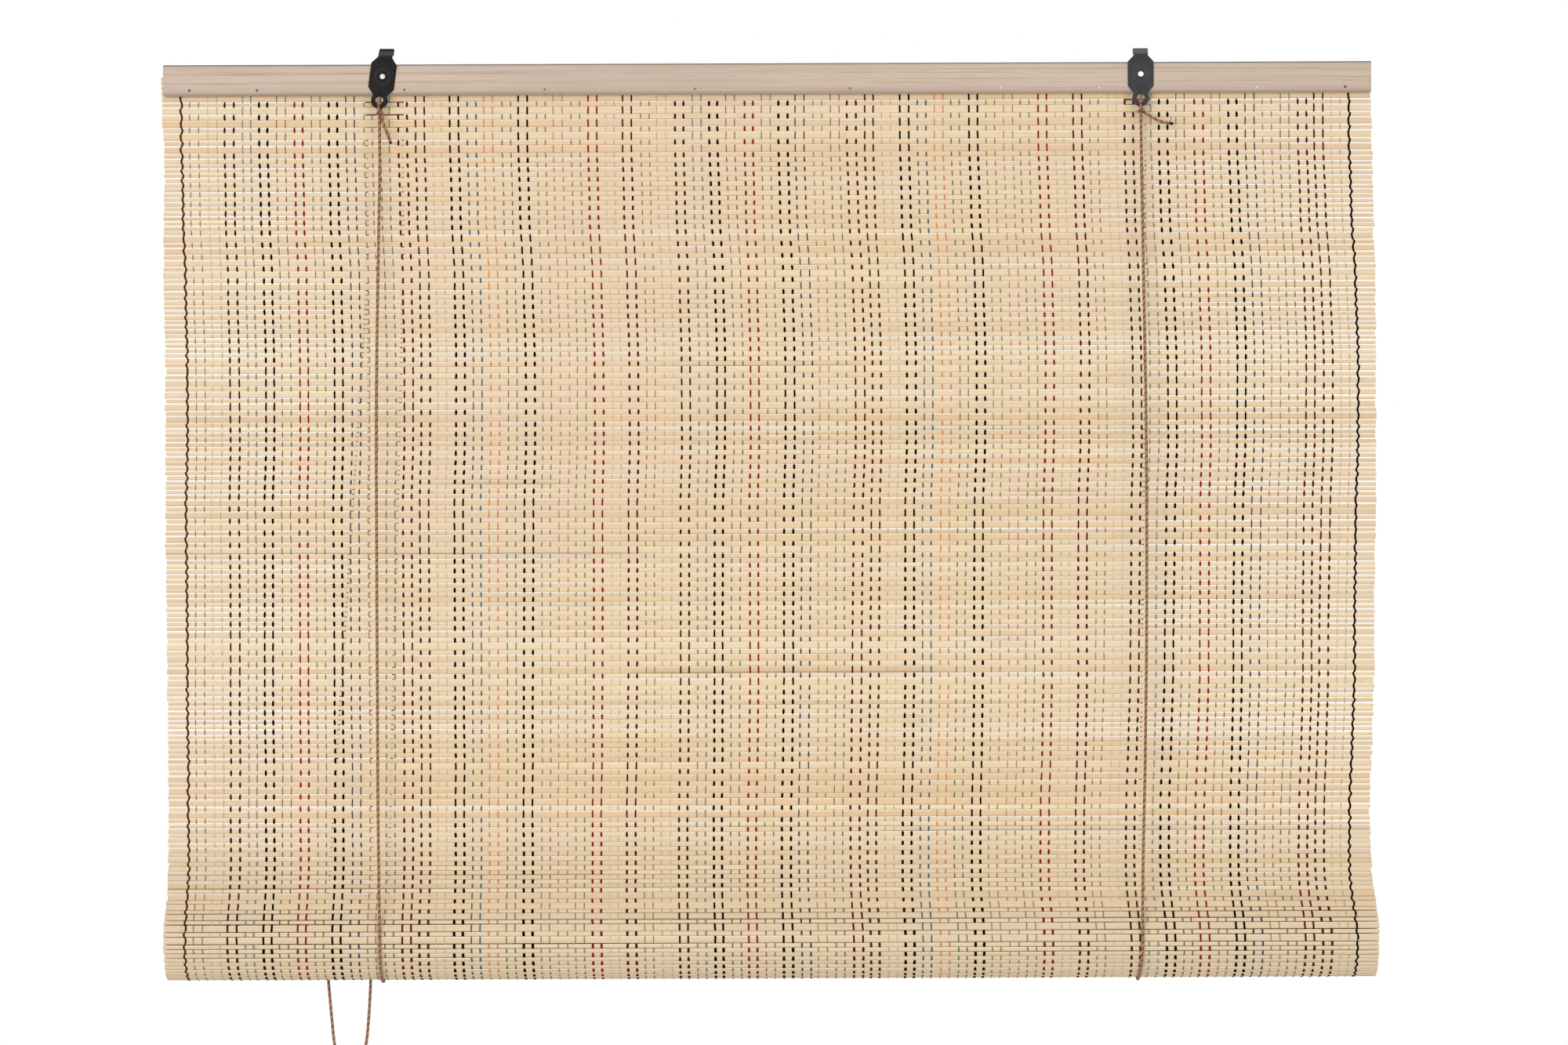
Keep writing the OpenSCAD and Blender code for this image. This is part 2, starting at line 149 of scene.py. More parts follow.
class Finish:
    """One procedural material, wired node by node."""

    def __init__(self, name):
        self.material = bpy.data.materials.new(name)
        self.material.use_nodes = True
        self.tree = self.material.node_tree
        self.tree.nodes.clear()
        self.place = self.node("ShaderNodeTexCoord", out="Object")

    def node(self, kind, settings=None, sockets=None, out=0):
        """Adds a node: first its settings, then the values or links of its sockets."""
        made = self.tree.nodes.new(kind)
        for key, value in (settings or {}).items():
            setattr(made, key, value)
        for key, value in (sockets or {}).items():
            if isinstance(value, Wire):
                self.tree.links.new(value.socket, made.inputs[key])
            else:
                made.inputs[key].default_value = value
        return Wire(self, made.outputs[out]) if len(made.outputs) else None

    def axis(self, letter):
        """Place along one axis, in metres."""
        return self.node("ShaderNodeSeparateXYZ", None, {0: self.place}, letter)

    def stretched(self, scale):
        """Place with each axis scaled on its own."""
        return self.node("ShaderNodeMapping", None, {"Vector": self.place, "Scale": scale})

    def noise(self, scale, detail=3.0, rough=0.5):
        """Noise from 0 to 1 whose grain is set for each axis, in repeats to the metre."""
        return self.node("ShaderNodeTexNoise", None, {
            "Vector": self.stretched(scale), "Scale": 1.0, "Detail": detail, "Roughness": rough})

    def held(self, name, out="Fac"):
        """A value kept on the mesh."""
        return self.node("ShaderNodeAttribute", {"attribute_name": name}, None, out)

    def mix(self, share, first, second, way="MIX"):
        """The first colour with a share of the second."""
        return self.node("ShaderNodeMix", {"data_type": "RGBA", "blend_type": way},
                         {0: share, 6: first, 7: second}, 2)

    def surface(self, colour, roughness, height=None, depth=0.0, **constants):
        """Closes the finish with its shader, and with height as a bump of the depth in metres."""
        sockets = {"Base Color": colour, "Roughness": roughness}
        if height is not None:
            sockets["Normal"] = self.node("ShaderNodeBump", None, {
                "Height": height, "Distance": depth, "Strength": 1.0})
        shader = self.node("ShaderNodeBsdfPrincipled", None, {**sockets, **constants})
        self.node("ShaderNodeOutputMaterial", None, {"Surface": shader})
        return self.material


# Finishes

def bamboo_finish():
    """Split bamboo: straw tones that change from slat to slat, long fibres, joints, dark skin lines, and
    painted light.
    """
    f = Finish("split_bamboo")
    tone = f.held("tone")
    warm = f.held("warm")
    stain = f.held("stain")
    across = f.held("across")
    dull = f.held("dull")
    streak = f.noise((5, 620, 620), 4.0, 0.6)
    fibre = f.noise((22, 2600, 2600), 2.0, 0.5)
    cloud = f.noise((9, 30, 30), 3.0, 0.55)
    patch = f.noise((2.6, 4.2, 4.2), 3.0, 0.6)
    shade = (tone * 0.75 + streak * 0.9 - 0.32).over(0.0, 1.0)
    straw = f.mix(shade, srgb(226, 196, 154), srgb(244, 225, 190))
    straw = f.mix(warm, straw, srgb(232, 194, 156))
    straw = f.mix(patch.over(0.44, 0.66) * 0.42, straw, srgb(234, 206, 178))
    straw = f.mix(cloud.over(0.58, 0.80) * 0.30, straw, srgb(214, 180, 140))
    # Painted shade: bent and rolled slats are the same bamboo, greyed and darkened by the share held in dull
    straw = f.mix(dull, straw, srgb(209, 195, 171))
    pores = (1 - fibre.over(0.30, 0.46)) * 0.26
    straw = f.mix(pores, straw, srgb(190, 152, 108))
    # Joints of the cane, a faint pale band at its own place on each slat
    joint = 1 - abs((f.axis("X") * 2.6 + tone * 7.3 + warm * 3.7) % 1.0 - 0.5).over(0.002, 0.012)
    straw = f.mix(joint * 0.16, straw, srgb(206, 168, 122))
    # Skin left along the lower edge of a few slats
    skin = stain * across.over(0.30, 0.95) * streak.over(0.25, 0.5)
    straw = f.mix(skin, straw, srgb(92, 72, 52))
    straw = f.mix(stain * 0.25, straw, srgb(196, 156, 114))
    # Lower edges darkened as painted shade, upper edges paled as a painted highlight of light from above
    straw = f.mix(across.over(0.40, 1.0) * 0.36, straw, srgb(196, 160, 114))
    straw = f.mix((0 - across).over(0.52, 0.95) * 0.72, straw, srgb(254, 242, 216))
    rough = 0.50 + streak * 0.2
    height = streak * 0.5 + fibre * 0.35 + joint * 0.5
    return f.surface(straw, rough, height, 0.00022, **{"Specular IOR Level": 0.3})


def thread_finish():
    """Dyed cotton thread, each pair in its own colour, with the twist of its yarn."""
    f = Finish("woven_thread")
    dye = f.held("dye", "Color")
    twist = f.node("ShaderNodeTexWave", {"bands_direction": "DIAGONAL"}, {
        "Vector": f.stretched((900, 900, 420)), "Scale": 1.0, "Distortion": 1.5, "Detail": 2.0})
    fluff = f.noise((2600, 2600, 1300), 2.0)
    colour = f.mix(twist * 0.22, dye, srgb(28, 20, 14), "MULTIPLY")
    colour = f.mix(fluff.over(0.55, 0.85) * 0.3, colour, srgb(54, 42, 30), "SCREEN")
    height = twist * 0.7 + fluff * 0.5
    return f.surface(colour, 0.95 - fluff * 0.1, height, 0.0002, **{"Specular IOR Level": 0.03})


def cord_finish():
    """Twisted cord of three brown and tan strands, with painted shade in the grooves between them."""
    f = Finish("twisted_cord")
    strand = f.held("strand")
    crown = f.held("crown")
    hairs = f.noise((1500, 1500, 700), 3.0)
    colour = f.mix(strand.over(0.25, 0.75), srgb(206, 162, 127), srgb(138, 96, 69))
    # Painted shade in the grooves between the strands
    colour = f.mix((1 - crown.over(0.05, 0.75)) * 0.85, colour, srgb(64, 40, 26))
    colour = f.mix(hairs.over(0.5, 0.75) * 0.40, colour, srgb(205, 162, 129))
    burnt = f.held("burnt")
    colour = f.mix(burnt, colour, srgb(30, 20, 14))
    return f.surface(colour, 0.88 - hairs * 0.15, hairs, 0.0003, **{"Specular IOR Level": 0.15})


# Growth lines on the rail's face: height, strength, and breaks to the metre
GRAIN_LINES = [(-0.0182, 0.95, 9.0), (-0.0278, 0.70, 12.0), (-0.0142, 0.35, 7.0), (-0.0330, 0.30, 5.0)]


def rail_finish(name, face, line, painted_edge_shade):
    """Planed wood with the grain along the blind, and painted shade: a greyer lower edge and a dark upper
    edge.
    """
    f = Finish(name)
    height = f.axis("Z")
    sway = f.noise((2.2, 14, 14), 3.0)
    rings = f.node("ShaderNodeTexWave", {"bands_direction": "Z"}, {
        "Vector": f.stretched((0.9, 60, 60)), "Scale": 0.5, "Distortion": 6.0, "Detail": 4.0,
        "Detail Scale": 1.2, "Detail Roughness": 0.6})
    broken = f.noise((3.2, 160, 160), 3.0, 0.6)
    fibre = f.noise((18, 900, 900), 4.0, 0.6)
    flecks = f.noise((46, 700, 700), 2.0, 0.5)
    colour = f.mix(rings.over(0.78, 0.97) * broken.over(0.34, 0.58) * 0.42, face, line)
    drift = (f.noise((1.6, 2, 2), 3.0, 0.6) - 0.5) * 0.011
    for level, strength, scale in GRAIN_LINES:
        off_line = abs(height - level - drift)
        gone = f.noise((scale, 1, 1), 3.0, 0.7).over(0.40, 0.56)
        colour = f.mix((1 - off_line.over(0.00010, 0.00062)) * gone * strength, colour, line)
    colour = f.mix(fibre.over(0.35, 0.75) * 0.44, colour, srgb(222, 207, 188))
    colour = f.mix(sway.over(0.40, 0.70) * 0.62, colour, srgb(190, 169, 151))
    colour = f.mix((1 - flecks.over(0.24, 0.34)) * 0.45, colour, srgb(150, 124, 104))
    if painted_edge_shade:
        # Painted shade: a greyer band along the lower rounding and a dark line along the upper edge
        colour = f.mix((1 - height.over(-0.0365, -0.0270)) * 0.55, colour, srgb(188, 168, 156))
        colour = f.mix(height.over(-0.0104, -0.0094) * 0.9, colour, srgb(104, 92, 84))
    return f.surface(colour, 0.52 + fibre * 0.18, rings * 0.3 + fibre * 0.7, 0.00018)


def black_steel_finish(name, shade, screw_at, gloss, shine=0.12, band=0.0):
    """Black painted steel with a fine orange peel, its screw's pressed ring, and painted light on the ring and
    tab.
    """
    f = Finish(name)
    peel = f.noise((900, 900, 900), 2.0)
    scuff = f.noise((160, 160, 420), 4.0, 0.65)
    side = f.axis("X") - screw_at[0] * MM
    level = f.axis("Z")
    rise = level - screw_at[1] * MM
    reach = f.node("ShaderNodeMath", {"operation": "SQRT"}, {0: side * side + rise * rise})
    ring = reach.over(0.0052, 0.0064) - reach.over(0.0076, 0.0090)
    colour = f.mix(scuff.over(0.62, 0.8) * 0.4, shade, srgb(62, 61, 63))
    # The pressed ring is a dent in the bump; its paler colour is a painted highlight
    colour = f.mix(ring * 0.10, colour, srgb(96, 96, 100))
    # Painted highlight across the tab's bend, its strength set by band
    tab = level.over(-0.0016, 0.0012) - level.over(0.0034, 0.0050)
    colour = f.mix(tab * band, colour, srgb(128, 128, 130))
    # Painted shade below the tab's bend and along its top, also set by band
    under = level.over(-0.0110, -0.0060) - level.over(-0.0022, -0.0012) + level.over(0.0040, 0.0054)
    colour = f.mix(under * band * 1.7, colour, srgb(12, 12, 13))
    rough = gloss + peel * 0.16 + scuff * 0.10
    return f.surface(colour, rough, peel * 0.25 + ring * 1.2, 0.00016, **{"Specular IOR Level": shine})


def bright_metal_finish(name, shade, rough):
    """Plated steel with turning marks and small dull spots."""
    f = Finish(name)
    marks = f.noise((420, 2400, 420), 3.0, 0.6)
    spots = f.noise((700, 700, 700), 3.0, 0.6)
    colour = f.mix(spots.over(0.5, 0.72) * 0.5, shade, srgb(150, 148, 146))
    return f.surface(colour, rough + marks * 0.18, marks, 0.00005, Metallic=0.85)


def nail_finish():
    """Nail heads: dark near the blind's ends, filled over further in, with a painted glint on some to the
    right.
    """
    f = Finish("nail_steel")
    side = f.axis("X")
    spots = f.noise((900, 900, 900), 3.0, 0.6)
    colour = f.mix(abs(side).over(0.44, 0.50), srgb(132, 112, 98), srgb(58, 48, 42))
    # Painted glint on the nail heads between 0.2 and 0.5 m to the right
    colour = f.mix(side.over(0.20, 0.22) - side.over(0.50, 0.52), colour, srgb(226, 222, 218))
    colour = f.mix(spots.over(0.5, 0.7) * 0.4, colour, srgb(96, 82, 72))
    return f.surface(colour, 0.42 + spots * 0.2, spots, 0.00006)


def wheel_finish():
    """Moulded nylon, yellowed a little, with a polished groove."""
    f = Finish("moulded_nylon")
    mottle = f.noise((240, 240, 240), 3.0)
    rub = f.noise((1400, 300, 1400), 2.0)
    colour = f.mix(mottle.over(0.35, 0.7) * 0.5, srgb(226, 221, 206), srgb(206, 198, 178))
    return f.surface(colour, 0.36 + rub * 0.2, rub, 0.00008)


def tie_finish():
    """Dark ribbed plastic band."""
    f = Finish("ribbed_band")
    rib = f.node("ShaderNodeTexWave", {"bands_direction": "X"}, {
        "Vector": f.stretched((300, 300, 300)), "Scale": 1.0})
    dust = f.noise((800, 800, 800), 2.0)
    colour = f.mix(dust.over(0.5, 0.8) * 0.3, srgb(46, 46, 48), srgb(86, 85, 84))
    return f.surface(colour, 0.5 + dust * 0.15, rib * 0.6 + dust * 0.2, 0.00015)


def floor_finish():
    """Pale floor, faintly clouded."""
    f = Finish("pale_floor")
    dust = f.noise((9, 9, 9), 3.0)
    return f.surface(f.mix(dust * 0.3, srgb(243, 242, 240), srgb(236, 235, 232)), 0.7)


BAMBOO = bamboo_finish()
THREAD = thread_finish()
CORD = cord_finish()


# Mesh helpers

def piece_from(name, verts, faces, finish, values=None, colours=None):
    """A mesh piece in metres from points in millimetres, with named values kept on its points."""
    mesh = bpy.data.meshes.new(name)
    mesh.from_pydata((np.asarray(verts) * MM).tolist(), [], faces)
    for key, numbers in (values or {}).items():
        mesh.attributes.new(key, "FLOAT", "POINT").data.foreach_set("value", np.asarray(numbers, np.float32))
    for key, numbers in (colours or {}).items():
        mesh.attributes.new(key, "FLOAT_COLOR", "POINT").data.foreach_set(
            "color", np.asarray(numbers, np.float32).ravel())
    mesh.polygons.foreach_set("use_smooth", [True] * len(mesh.polygons))
    mesh.materials.append(finish)
    mesh.update()
    piece = bpy.data.objects.new(name, mesh)
    bpy.context.scene.collection.objects.link(piece)
    return piece


def tube_faces(rings, sides, start):
    """Quads of an open tube of rings, and a cap at each end."""
    i = np.arange(rings - 1)[:, None] * sides
    j = np.arange(sides)[None, :]
    k = (j + 1) % sides
    quads = np.stack([i + j, i + k, i + sides + k, i + sides + j], -1).reshape(-1, 4) + start
    faces = quads.tolist()
    faces.append((start + np.arange(sides)[::-1]).tolist())
    faces.append((start + (rings - 1) * sides + np.arange(sides)).tolist())
    return faces


def pick_edges(piece, wanted):
    """Selects the edges whose two ends are as wanted, and leaves the piece in edit mode."""
    bpy.ops.object.mode_set(mode="EDIT")
    bpy.ops.mesh.select_mode(type="EDGE")
    bpy.ops.mesh.select_all(action="DESELECT")
    bpy.ops.object.mode_set(mode="OBJECT")
    points = piece.data.vertices
    for edge in piece.data.edges:
        edge.select = wanted(*(points[i].co for i in edge.vertices))
    bpy.ops.object.mode_set(mode="EDIT")


def merged_copy(node, name):
    """A copy of a CAD piece with its loose triangles merged, selected alone."""
    bpy.ops.object.select_all(action="DESELECT")
    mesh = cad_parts[node].data.copy()
    mesh.name = name
    piece = bpy.data.objects.new(name, mesh)
    bpy.context.scene.collection.objects.link(piece)
    piece.select_set(True)
    bpy.context.view_layer.objects.active = piece
    bpy.ops.object.mode_set(mode="EDIT")
    bpy.ops.mesh.select_all(action="SELECT")
    bpy.ops.mesh.remove_doubles(threshold=0.01 * MM)
    bpy.ops.object.mode_set(mode="OBJECT")
    return piece


def coat(piece, finish):
    """Gives a piece this finish alone."""
    piece.data.materials.clear()
    piece.data.materials.append(finish)


# The mat's path

def is_wide(k):
    """Whether slat k, counted from the top, is a wide one."""
    i = k - LEAD_N
    place = i if i < FIRST_REPEAT_N else (i - FIRST_REPEAT_N) % REPEAT_N
    return 0 <= place < TURN_N and place % 2 == 0


def slat_width(wide):
    """Width of a wide or a narrow slat in the part's source."""
    return SLAT_WIDE if wide else SLAT_NARROW


def mat_point(s):
    """Point of the mat's middle in Y and Z at length s from its top, and the direction it runs there."""
    if s <= FLAT_LEN:
        return np.array([MAT_Y, MAT_TOP - s]), np.array([0.0, -1.0])
    if s <= FLAT_LEN + BEND_LEN:
        a = (s - FLAT_LEN) / BEND_R
        point = np.array([MAT_Y - BEND_R * (1 - math.cos(a)), BEND_TOP - BEND_R * math.sin(a)])
        return point, np.array([-math.sin(a), -math.cos(a)])
    run = min(s - FLAT_LEN - BEND_LEN, ROLLED_LEN)
    turn = (ROLL_R - math.sqrt(max(0.0, ROLL_R ** 2 - TURN_PITCH * run / math.pi))) * 2 * math.pi / TURN_PITCH
    r = ROLL_R - TURN_PITCH * turn / (2 * math.pi)
    a = math.radians(LEAN) - turn
    point = np.array([ROLL_Y - r * math.cos(a), ROLL_Z + r * math.sin(a)])
    return point, np.array([-math.sin(a), -math.cos(a)])


def off_mat(s, out):
    """Y and Z of a point that stands off the mat's middle at length s."""
    place, way = mat_point(s)
    return place[0] + way[1] * out, place[1] - way[0] * out


def smooth_through(stops, at):
    """A smooth line through a few places and values."""
    places, values = zip(*stops)
    if at <= places[0]:
        return values[0]
    for a, b, low, high in zip(places, places[1:], values, values[1:]):
        if at <= b:
            share = (at - a) / (b - a)
            return low + (high - low) * share * share * (3 - 2 * share)
    return values[-1]


# How the weave hangs, by distance down the mat: the threads' shift to the right, and how they draw together
SWAY = [(58, -3.0), (129, -1.4), (205, 1.8), (281, 3.5), (357, 3.4), (433, 1.4), (585, 0.7), (661, -0.2),
        (737, -1.6), (798, -1.7), (880, 0.2)]
GATHER = [(58, -0.0005), (281, -0.0034), (357, -0.0032), (585, -0.0002), (737, 0.0047), (798, 0.0070),
          (880, 0.0041)]
# Shift to the right of the slats' left ends and of their right ends, by distance down the mat
LEFT_SHIFT = [(0, -3.0), (22, -2.6), (45, -1.6), (73, 0.2), (129, -0.6), (205, -1.3), (281, 0.4), (433, 0.0),
              (585, 1.2), (737, 1.7), (798, 2.6), (860, 1.9)]
RIGHT_SHIFT = [(0, -0.8), (18, 0.4), (50, 1.1), (90, 1.9), (129, 2.6), (205, 4.6), (357, 4.4), (585, 1.9),
               (661, -0.4), (737, -3.2), (790, -2.0), (850, 0.6)]


def weave_x(x, s):
    """Where a thread that starts at x lies at length s."""
    return x * (1 - smooth_through(GATHER, s)) + smooth_through(SWAY, s)


# How far a slat may be off: its width, its place down the mat, its slant over half the blind, and its ends
WIDTH_OFF = (-0.06, 0.52)
PLACE_OFF = 0.12
SLANT_OFF = 0.12
END_OFF = 0.45
# The top of the mat is pulled up behind the rail, which spreads the slats just below it
TOP_RISE = [(21, 3.4), (88, 0.0)]

# Slats from the top down: where each begins and ends along the mat, and its width
slats = []
run = 0.0
while run + slat_width(is_wide(len(slats))) <= MAT_LEN:
    wide = is_wide(len(slats))
    nominal = slat_width(wide)
    width = nominal + chance.uniform(*WIDTH_OFF)
    middle = run + nominal / 2 + chance.uniform(-PLACE_OFF, PLACE_OFF)
    slats.append({"wide": wide, "from": middle - width / 2, "to": middle + width / 2})
    run += nominal + SLAT_GAP
# The last slat behind the rail lies against the first one below it
slats[LEAD_N - 1]["to"] += SLAT_GAP
for slat in slats:
    slat["from"] -= smooth_through(TOP_RISE, slat["from"])
    slat["to"] -= smooth_through(TOP_RISE, slat["to"])
    slat["width"] = slat["to"] - slat["from"]

# Numbers of slats that hang, that come before the roll, and that come before its core, which is plainer
SLACK = 0.1
OUTER_TURNS_N = 56
FLAT_N = sum(1 for slat in slats if slat["to"] <= FLAT_LEN + SLACK)
BEND_N = sum(1 for slat in slats if slat["to"] <= FLAT_LEN + BEND_LEN + SLACK)
OUTER_N = BEND_N + OUTER_TURNS_N


# Slats

FACE_EASE = 0.62
# Cuts along a slat that shows, and along one in the roll's core
SHOWN_CUTS, CORE_CUTS = 31, 1


def slat_blank(wide, cuts):
    """One slat as split from the cane: a bar with a crowned face and eased edges, along X."""
    bpy.ops.object.select_all(action="DESELECT")
    bpy.ops.mesh.primitive_cube_add(size=1)
    blank = bpy.context.object
    blank.name = "slat_blank"
    blank.scale = (BLIND_W * MM, SLAT_T * MM, slat_width(wide) * MM)
    bpy.ops.object.transform_apply(location=False, rotation=False, scale=True)

    def is_long(a, b):
        return abs(a.x - b.x) > BLIND_W / 2 * MM

    pick_edges(blank, lambda a, b: is_long(a, b) and a.y < 0)
    bpy.ops.mesh.bevel(offset=FACE_EASE * MM, segments=2, profile=0.55, affect="EDGES")
    pick_edges(blank, is_long)
    bpy.ops.mesh.subdivide(number_cuts=cuts)
    bpy.ops.object.mode_set(mode="OBJECT")
    bpy.ops.object.shade_smooth_by_angle(angle=math.radians(38))
    blank.data.materials.append(BAMBOO)
    for key in ("tone", "warm", "stain", "across", "dull"):
        blank.data.attributes.new(key, "FLOAT", "POINT")
    return blank


# Dark skin lines and browner stretches: distance down the mat, from x, to x, strength
MARKS = [
    (469.5, -600, -150, 0.60), (587.0, -112, 158, 0.70), (348.0, 158, 360, 0.45), (411.5, 262, 292, 0.9),
    (744.0, -600, 600, 0.35), (748.0, 150, 600, 0.75), (790.0, -600, -200, 0.55), (806.0, -600, -60, 0.70),
    (640.0, 300, 430, 0.40), (285.0, -80, 60, 0.35), (402.0, -300, -250, 0.6), (520.0, 380, 520, 0.35),
]
MARK_MARGIN = 25.0
# For slats that hang, bend and are rolled: splay of the ends, fullness of the middle, extra width, painted
# shade
SPLAY = (0.50, 0.12, 0.0)
FULLNESS = (0.32, 0.20, 0.20)
EXTRA_WIDTH = (0.0, 0.20, -0.30)
PAINTED_STRETCH_SHADE = (0.0, 0.18, 0.36)
# Waves along a slat, of its middle line, its width and its thickness: height, rate, and which of four phases
BOW_WAVES = [(0.15, 2.1, 0), (0.10, 5.3, 1)]
WIDTH_WAVES = [(0.13, 3.4, 2), (0.12, 8.1, 3), (0.10, 17, 0), (0.09, 29, 1)]
FACE_WAVES = [(0.05, 4, 1)]
CROWN = 0.10
# How far slats reach past the ends of the solid
END_REACH = 0.6
MOST_WARM = 0.6


def lay_slat(blank, k):
    """A copy of the blank bent to slat k's own width, bow, ends and place on the mat."""
    slat = slats[k]
    stretch = 0 if k < FLAT_N else 1 if k < BEND_N else 2
    mesh = blank.data.copy()
    count = len(mesh.vertices)
    co = np.empty(count * 3, np.float32)
    mesh.vertices.foreach_get("co", co)
    co = co.reshape(-1, 3).astype(float) / MM
    x = co[:, 0] / (BLIND_W / 2)
    out = -co[:, 1]
    down = -co[:, 2] / slat_width(slat["wide"])
    across = down * 2
    middle = (slat["from"] + slat["to"]) / 2
    phase = [chance.uniform(0, FULL_TURN) for _ in range(4)]

    def waves(terms):
        return sum(height * np.sin(rate * x + phase[n]) for height, rate, n in terms)

    # Edges wander, so the gaps open and close along the blind, and free ends stand further apart
    toward_end = np.clip((np.abs(x) - 0.50) / 0.45, 0, 1) ** 1.5
    toward_middle = np.clip((0.80 - np.abs(x)) / 0.45, 0, 1)
    swell = waves(WIDTH_WAVES) - SPLAY[stretch] * toward_end + FULLNESS[stretch] * toward_middle
    along = down * (slat["width"] + swell + EXTRA_WIDTH[stretch]) + waves(BOW_WAVES)
    along += chance.uniform(-SLANT_OFF, SLANT_OFF) * x
    out = out * (1 + waves(FACE_WAVES)) - CROWN * across ** 2 * (out > 0)
    left_end = chance.gauss(0, END_OFF) - smooth_through(LEFT_SHIFT, middle)
    right_end = chance.gauss(0, END_OFF) + smooth_through(RIGHT_SHIFT, middle)
    place, way = mat_point(middle)
    co[:, 0] = x * (BLIND_W / 2 + END_REACH + np.where(x < 0, left_end, right_end))
    co[:, 1] = place[0] + way[0] * along + way[1] * out
    co[:, 2] = place[1] + way[1] * along - way[0] * out
    mesh.vertices.foreach_set("co", (co * MM).astype(np.float32).ravel())
    # The tone drifts down the mat and jumps from slat to slat, and every third slat is warmer
    drift = 0.52 + 0.10 * math.sin(k * 0.37) + 0.08 * math.sin(k * 0.117 + 1)
    tone = min(1, max(0, drift + chance.gauss(0, 0.23)))
    warm = max(0, chance.gauss(-0.02, 0.22) if k % 3 else chance.gauss(0.12, 0.16))
    stain = np.zeros(count)
    for at, left, right, strength in MARKS:
        if slat["from"] - SLAT_GAP / 2 <= at <= slat["to"] + SLAT_GAP / 2:
            inside = (co[:, 0] > left - MARK_MARGIN) & (co[:, 0] < right + MARK_MARGIN)
            stain = np.maximum(stain, inside * strength)
    values = {"tone": np.full(count, tone), "warm": np.full(count, min(MOST_WARM, warm)), "stain": stain,
              "across": across, "dull": np.full(count, PAINTED_STRETCH_SHADE[stretch])}
    for key, numbers in values.items():
        mesh.attributes[key].data.foreach_set("value", numbers.astype(np.float32))
    mesh.update()
    laid = bpy.data.objects.new(f"slat_{k}", mesh)
    bpy.context.scene.collection.objects.link(laid)
    return laid


def join_slats(name, first, end, blanks):
    """Lays the slats from first up to end, and joins them into one piece."""
    bpy.ops.object.select_all(action="DESELECT")
    laid = [lay_slat(blanks[slats[k]["wide"]], k) for k in range(first, end)]
    for slat in laid:
        slat.select_set(True)
    bpy.context.view_layer.objects.active = laid[0]
    bpy.ops.object.join()
    laid[0].name = name
    laid[0].data.name = name
    bpy.ops.object.select_all(action="DESELECT")
    return laid[0]


shown_blanks = {wide: slat_blank(wide, SHOWN_CUTS) for wide in (True, False)}
core_blanks = {wide: slat_blank(wide, CORE_CUTS) for wide in (True, False)}
hanging_slats = join_slats("hanging_slats", 0, FLAT_N, shown_blanks)
bend_slats = join_slats("bend_slats", FLAT_N, BEND_N, shown_blanks)
roll_slats = join_slats("roll_slats", BEND_N, OUTER_N, shown_blanks)
core_slats = join_slats("core_slats", OUTER_N, len(slats), core_blanks)
for blank in (*shown_blanks.values(), *core_blanks.values()):
    bpy.data.objects.remove(blank, do_unlink=True)

# Threads

# Colour families: width, and the colours that the family's pairs take in turn
DYES = {
    "tan": (0.98, [(176, 146, 94), (142, 112, 76), (158, 142, 92), (186, 155, 110), (166, 150, 100)]),
    "cream": (0.85, [(238, 216, 174), (236, 213, 168), (240, 220, 180)]),
    "brown": (1.85, [(72, 40, 16), (94, 48, 17)]),
    "blue": (1.36, [(164, 173, 168), (72, 82, 104), (92, 122, 138)]),
    "black": (2.05, [(22, 12, 6), (19, 11, 6), (24, 13, 7), (20, 12, 6)]),
    "red": (1.78, [(166, 40, 36), (158, 36, 34)]),
    "green": (1.08, [(144, 146, 112), (134, 138, 104), (162, 156, 118)]),
    "maroon": (1.82, [(112, 22, 16), (100, 20, 16)]),
    "orange": (1.20, [(236, 158, 100)]),
    "pink": (0.95, [(210, 156, 146)]),
}
# Families of the pairs from left to right, over and over
ORDER = ["tan", "cream", "brown", "blue", "black", "tan", "red", "tan", "black", "blue", "tan", "green",
         "maroon", "brown", "cream", "black", "blue", "orange", "green", "black", "tan", "pink", "green",
         "red", "cream", "maroon"]
THREAD_H = 0.56
# Share of its width that a thread has in a gap, on a wide slat and on a narrow one
IN_GAP, ON_WIDE, ON_NARROW = 0.62, 0.86, 1.1
# How far inside a slat's edge a thread turns, at most and as a share of the slat, and how far it may lean
TURN_INSET, TURN_SHARE, LEAN_OFF = 0.42, 0.09, 0.16
# Length of a pair's sway, its size, and how far each thread may be off in place and shade
SWAY_LEN = 95
PAIR_SWAY, THREAD_OFF, SHADE_OFF = (0.25, 0.7), 0.35, (0.94, 1.06)
# Edge threads: place across the blind, and colour
EDGES = {"left_edge": (-580.2, (100, 44, 30)), "right_edge": (582.0, (16, 9, 6))}
# How far an edge thread stands off in a gap and on a slat, and the share of the slat at which it bends
EDGE_IN_GAP, EDGE_ON_SLAT, EDGE_BEND = 0.45, 1.06, 0.28
# Its half width, its zigzag, and the share of that in a gap and at the slat's lower bend
EDGE_HALF, EDGE_ZIG, ZIG_IN_GAP, ZIG_BELOW = 1.0, (0.45, 1.2), -0.2, 0.7


def gap_middle(k):
    """Length down the mat of the middle of the gap above slat k."""
    return (slats[k]["from"] + slats[k - 1]["to"]) / 2


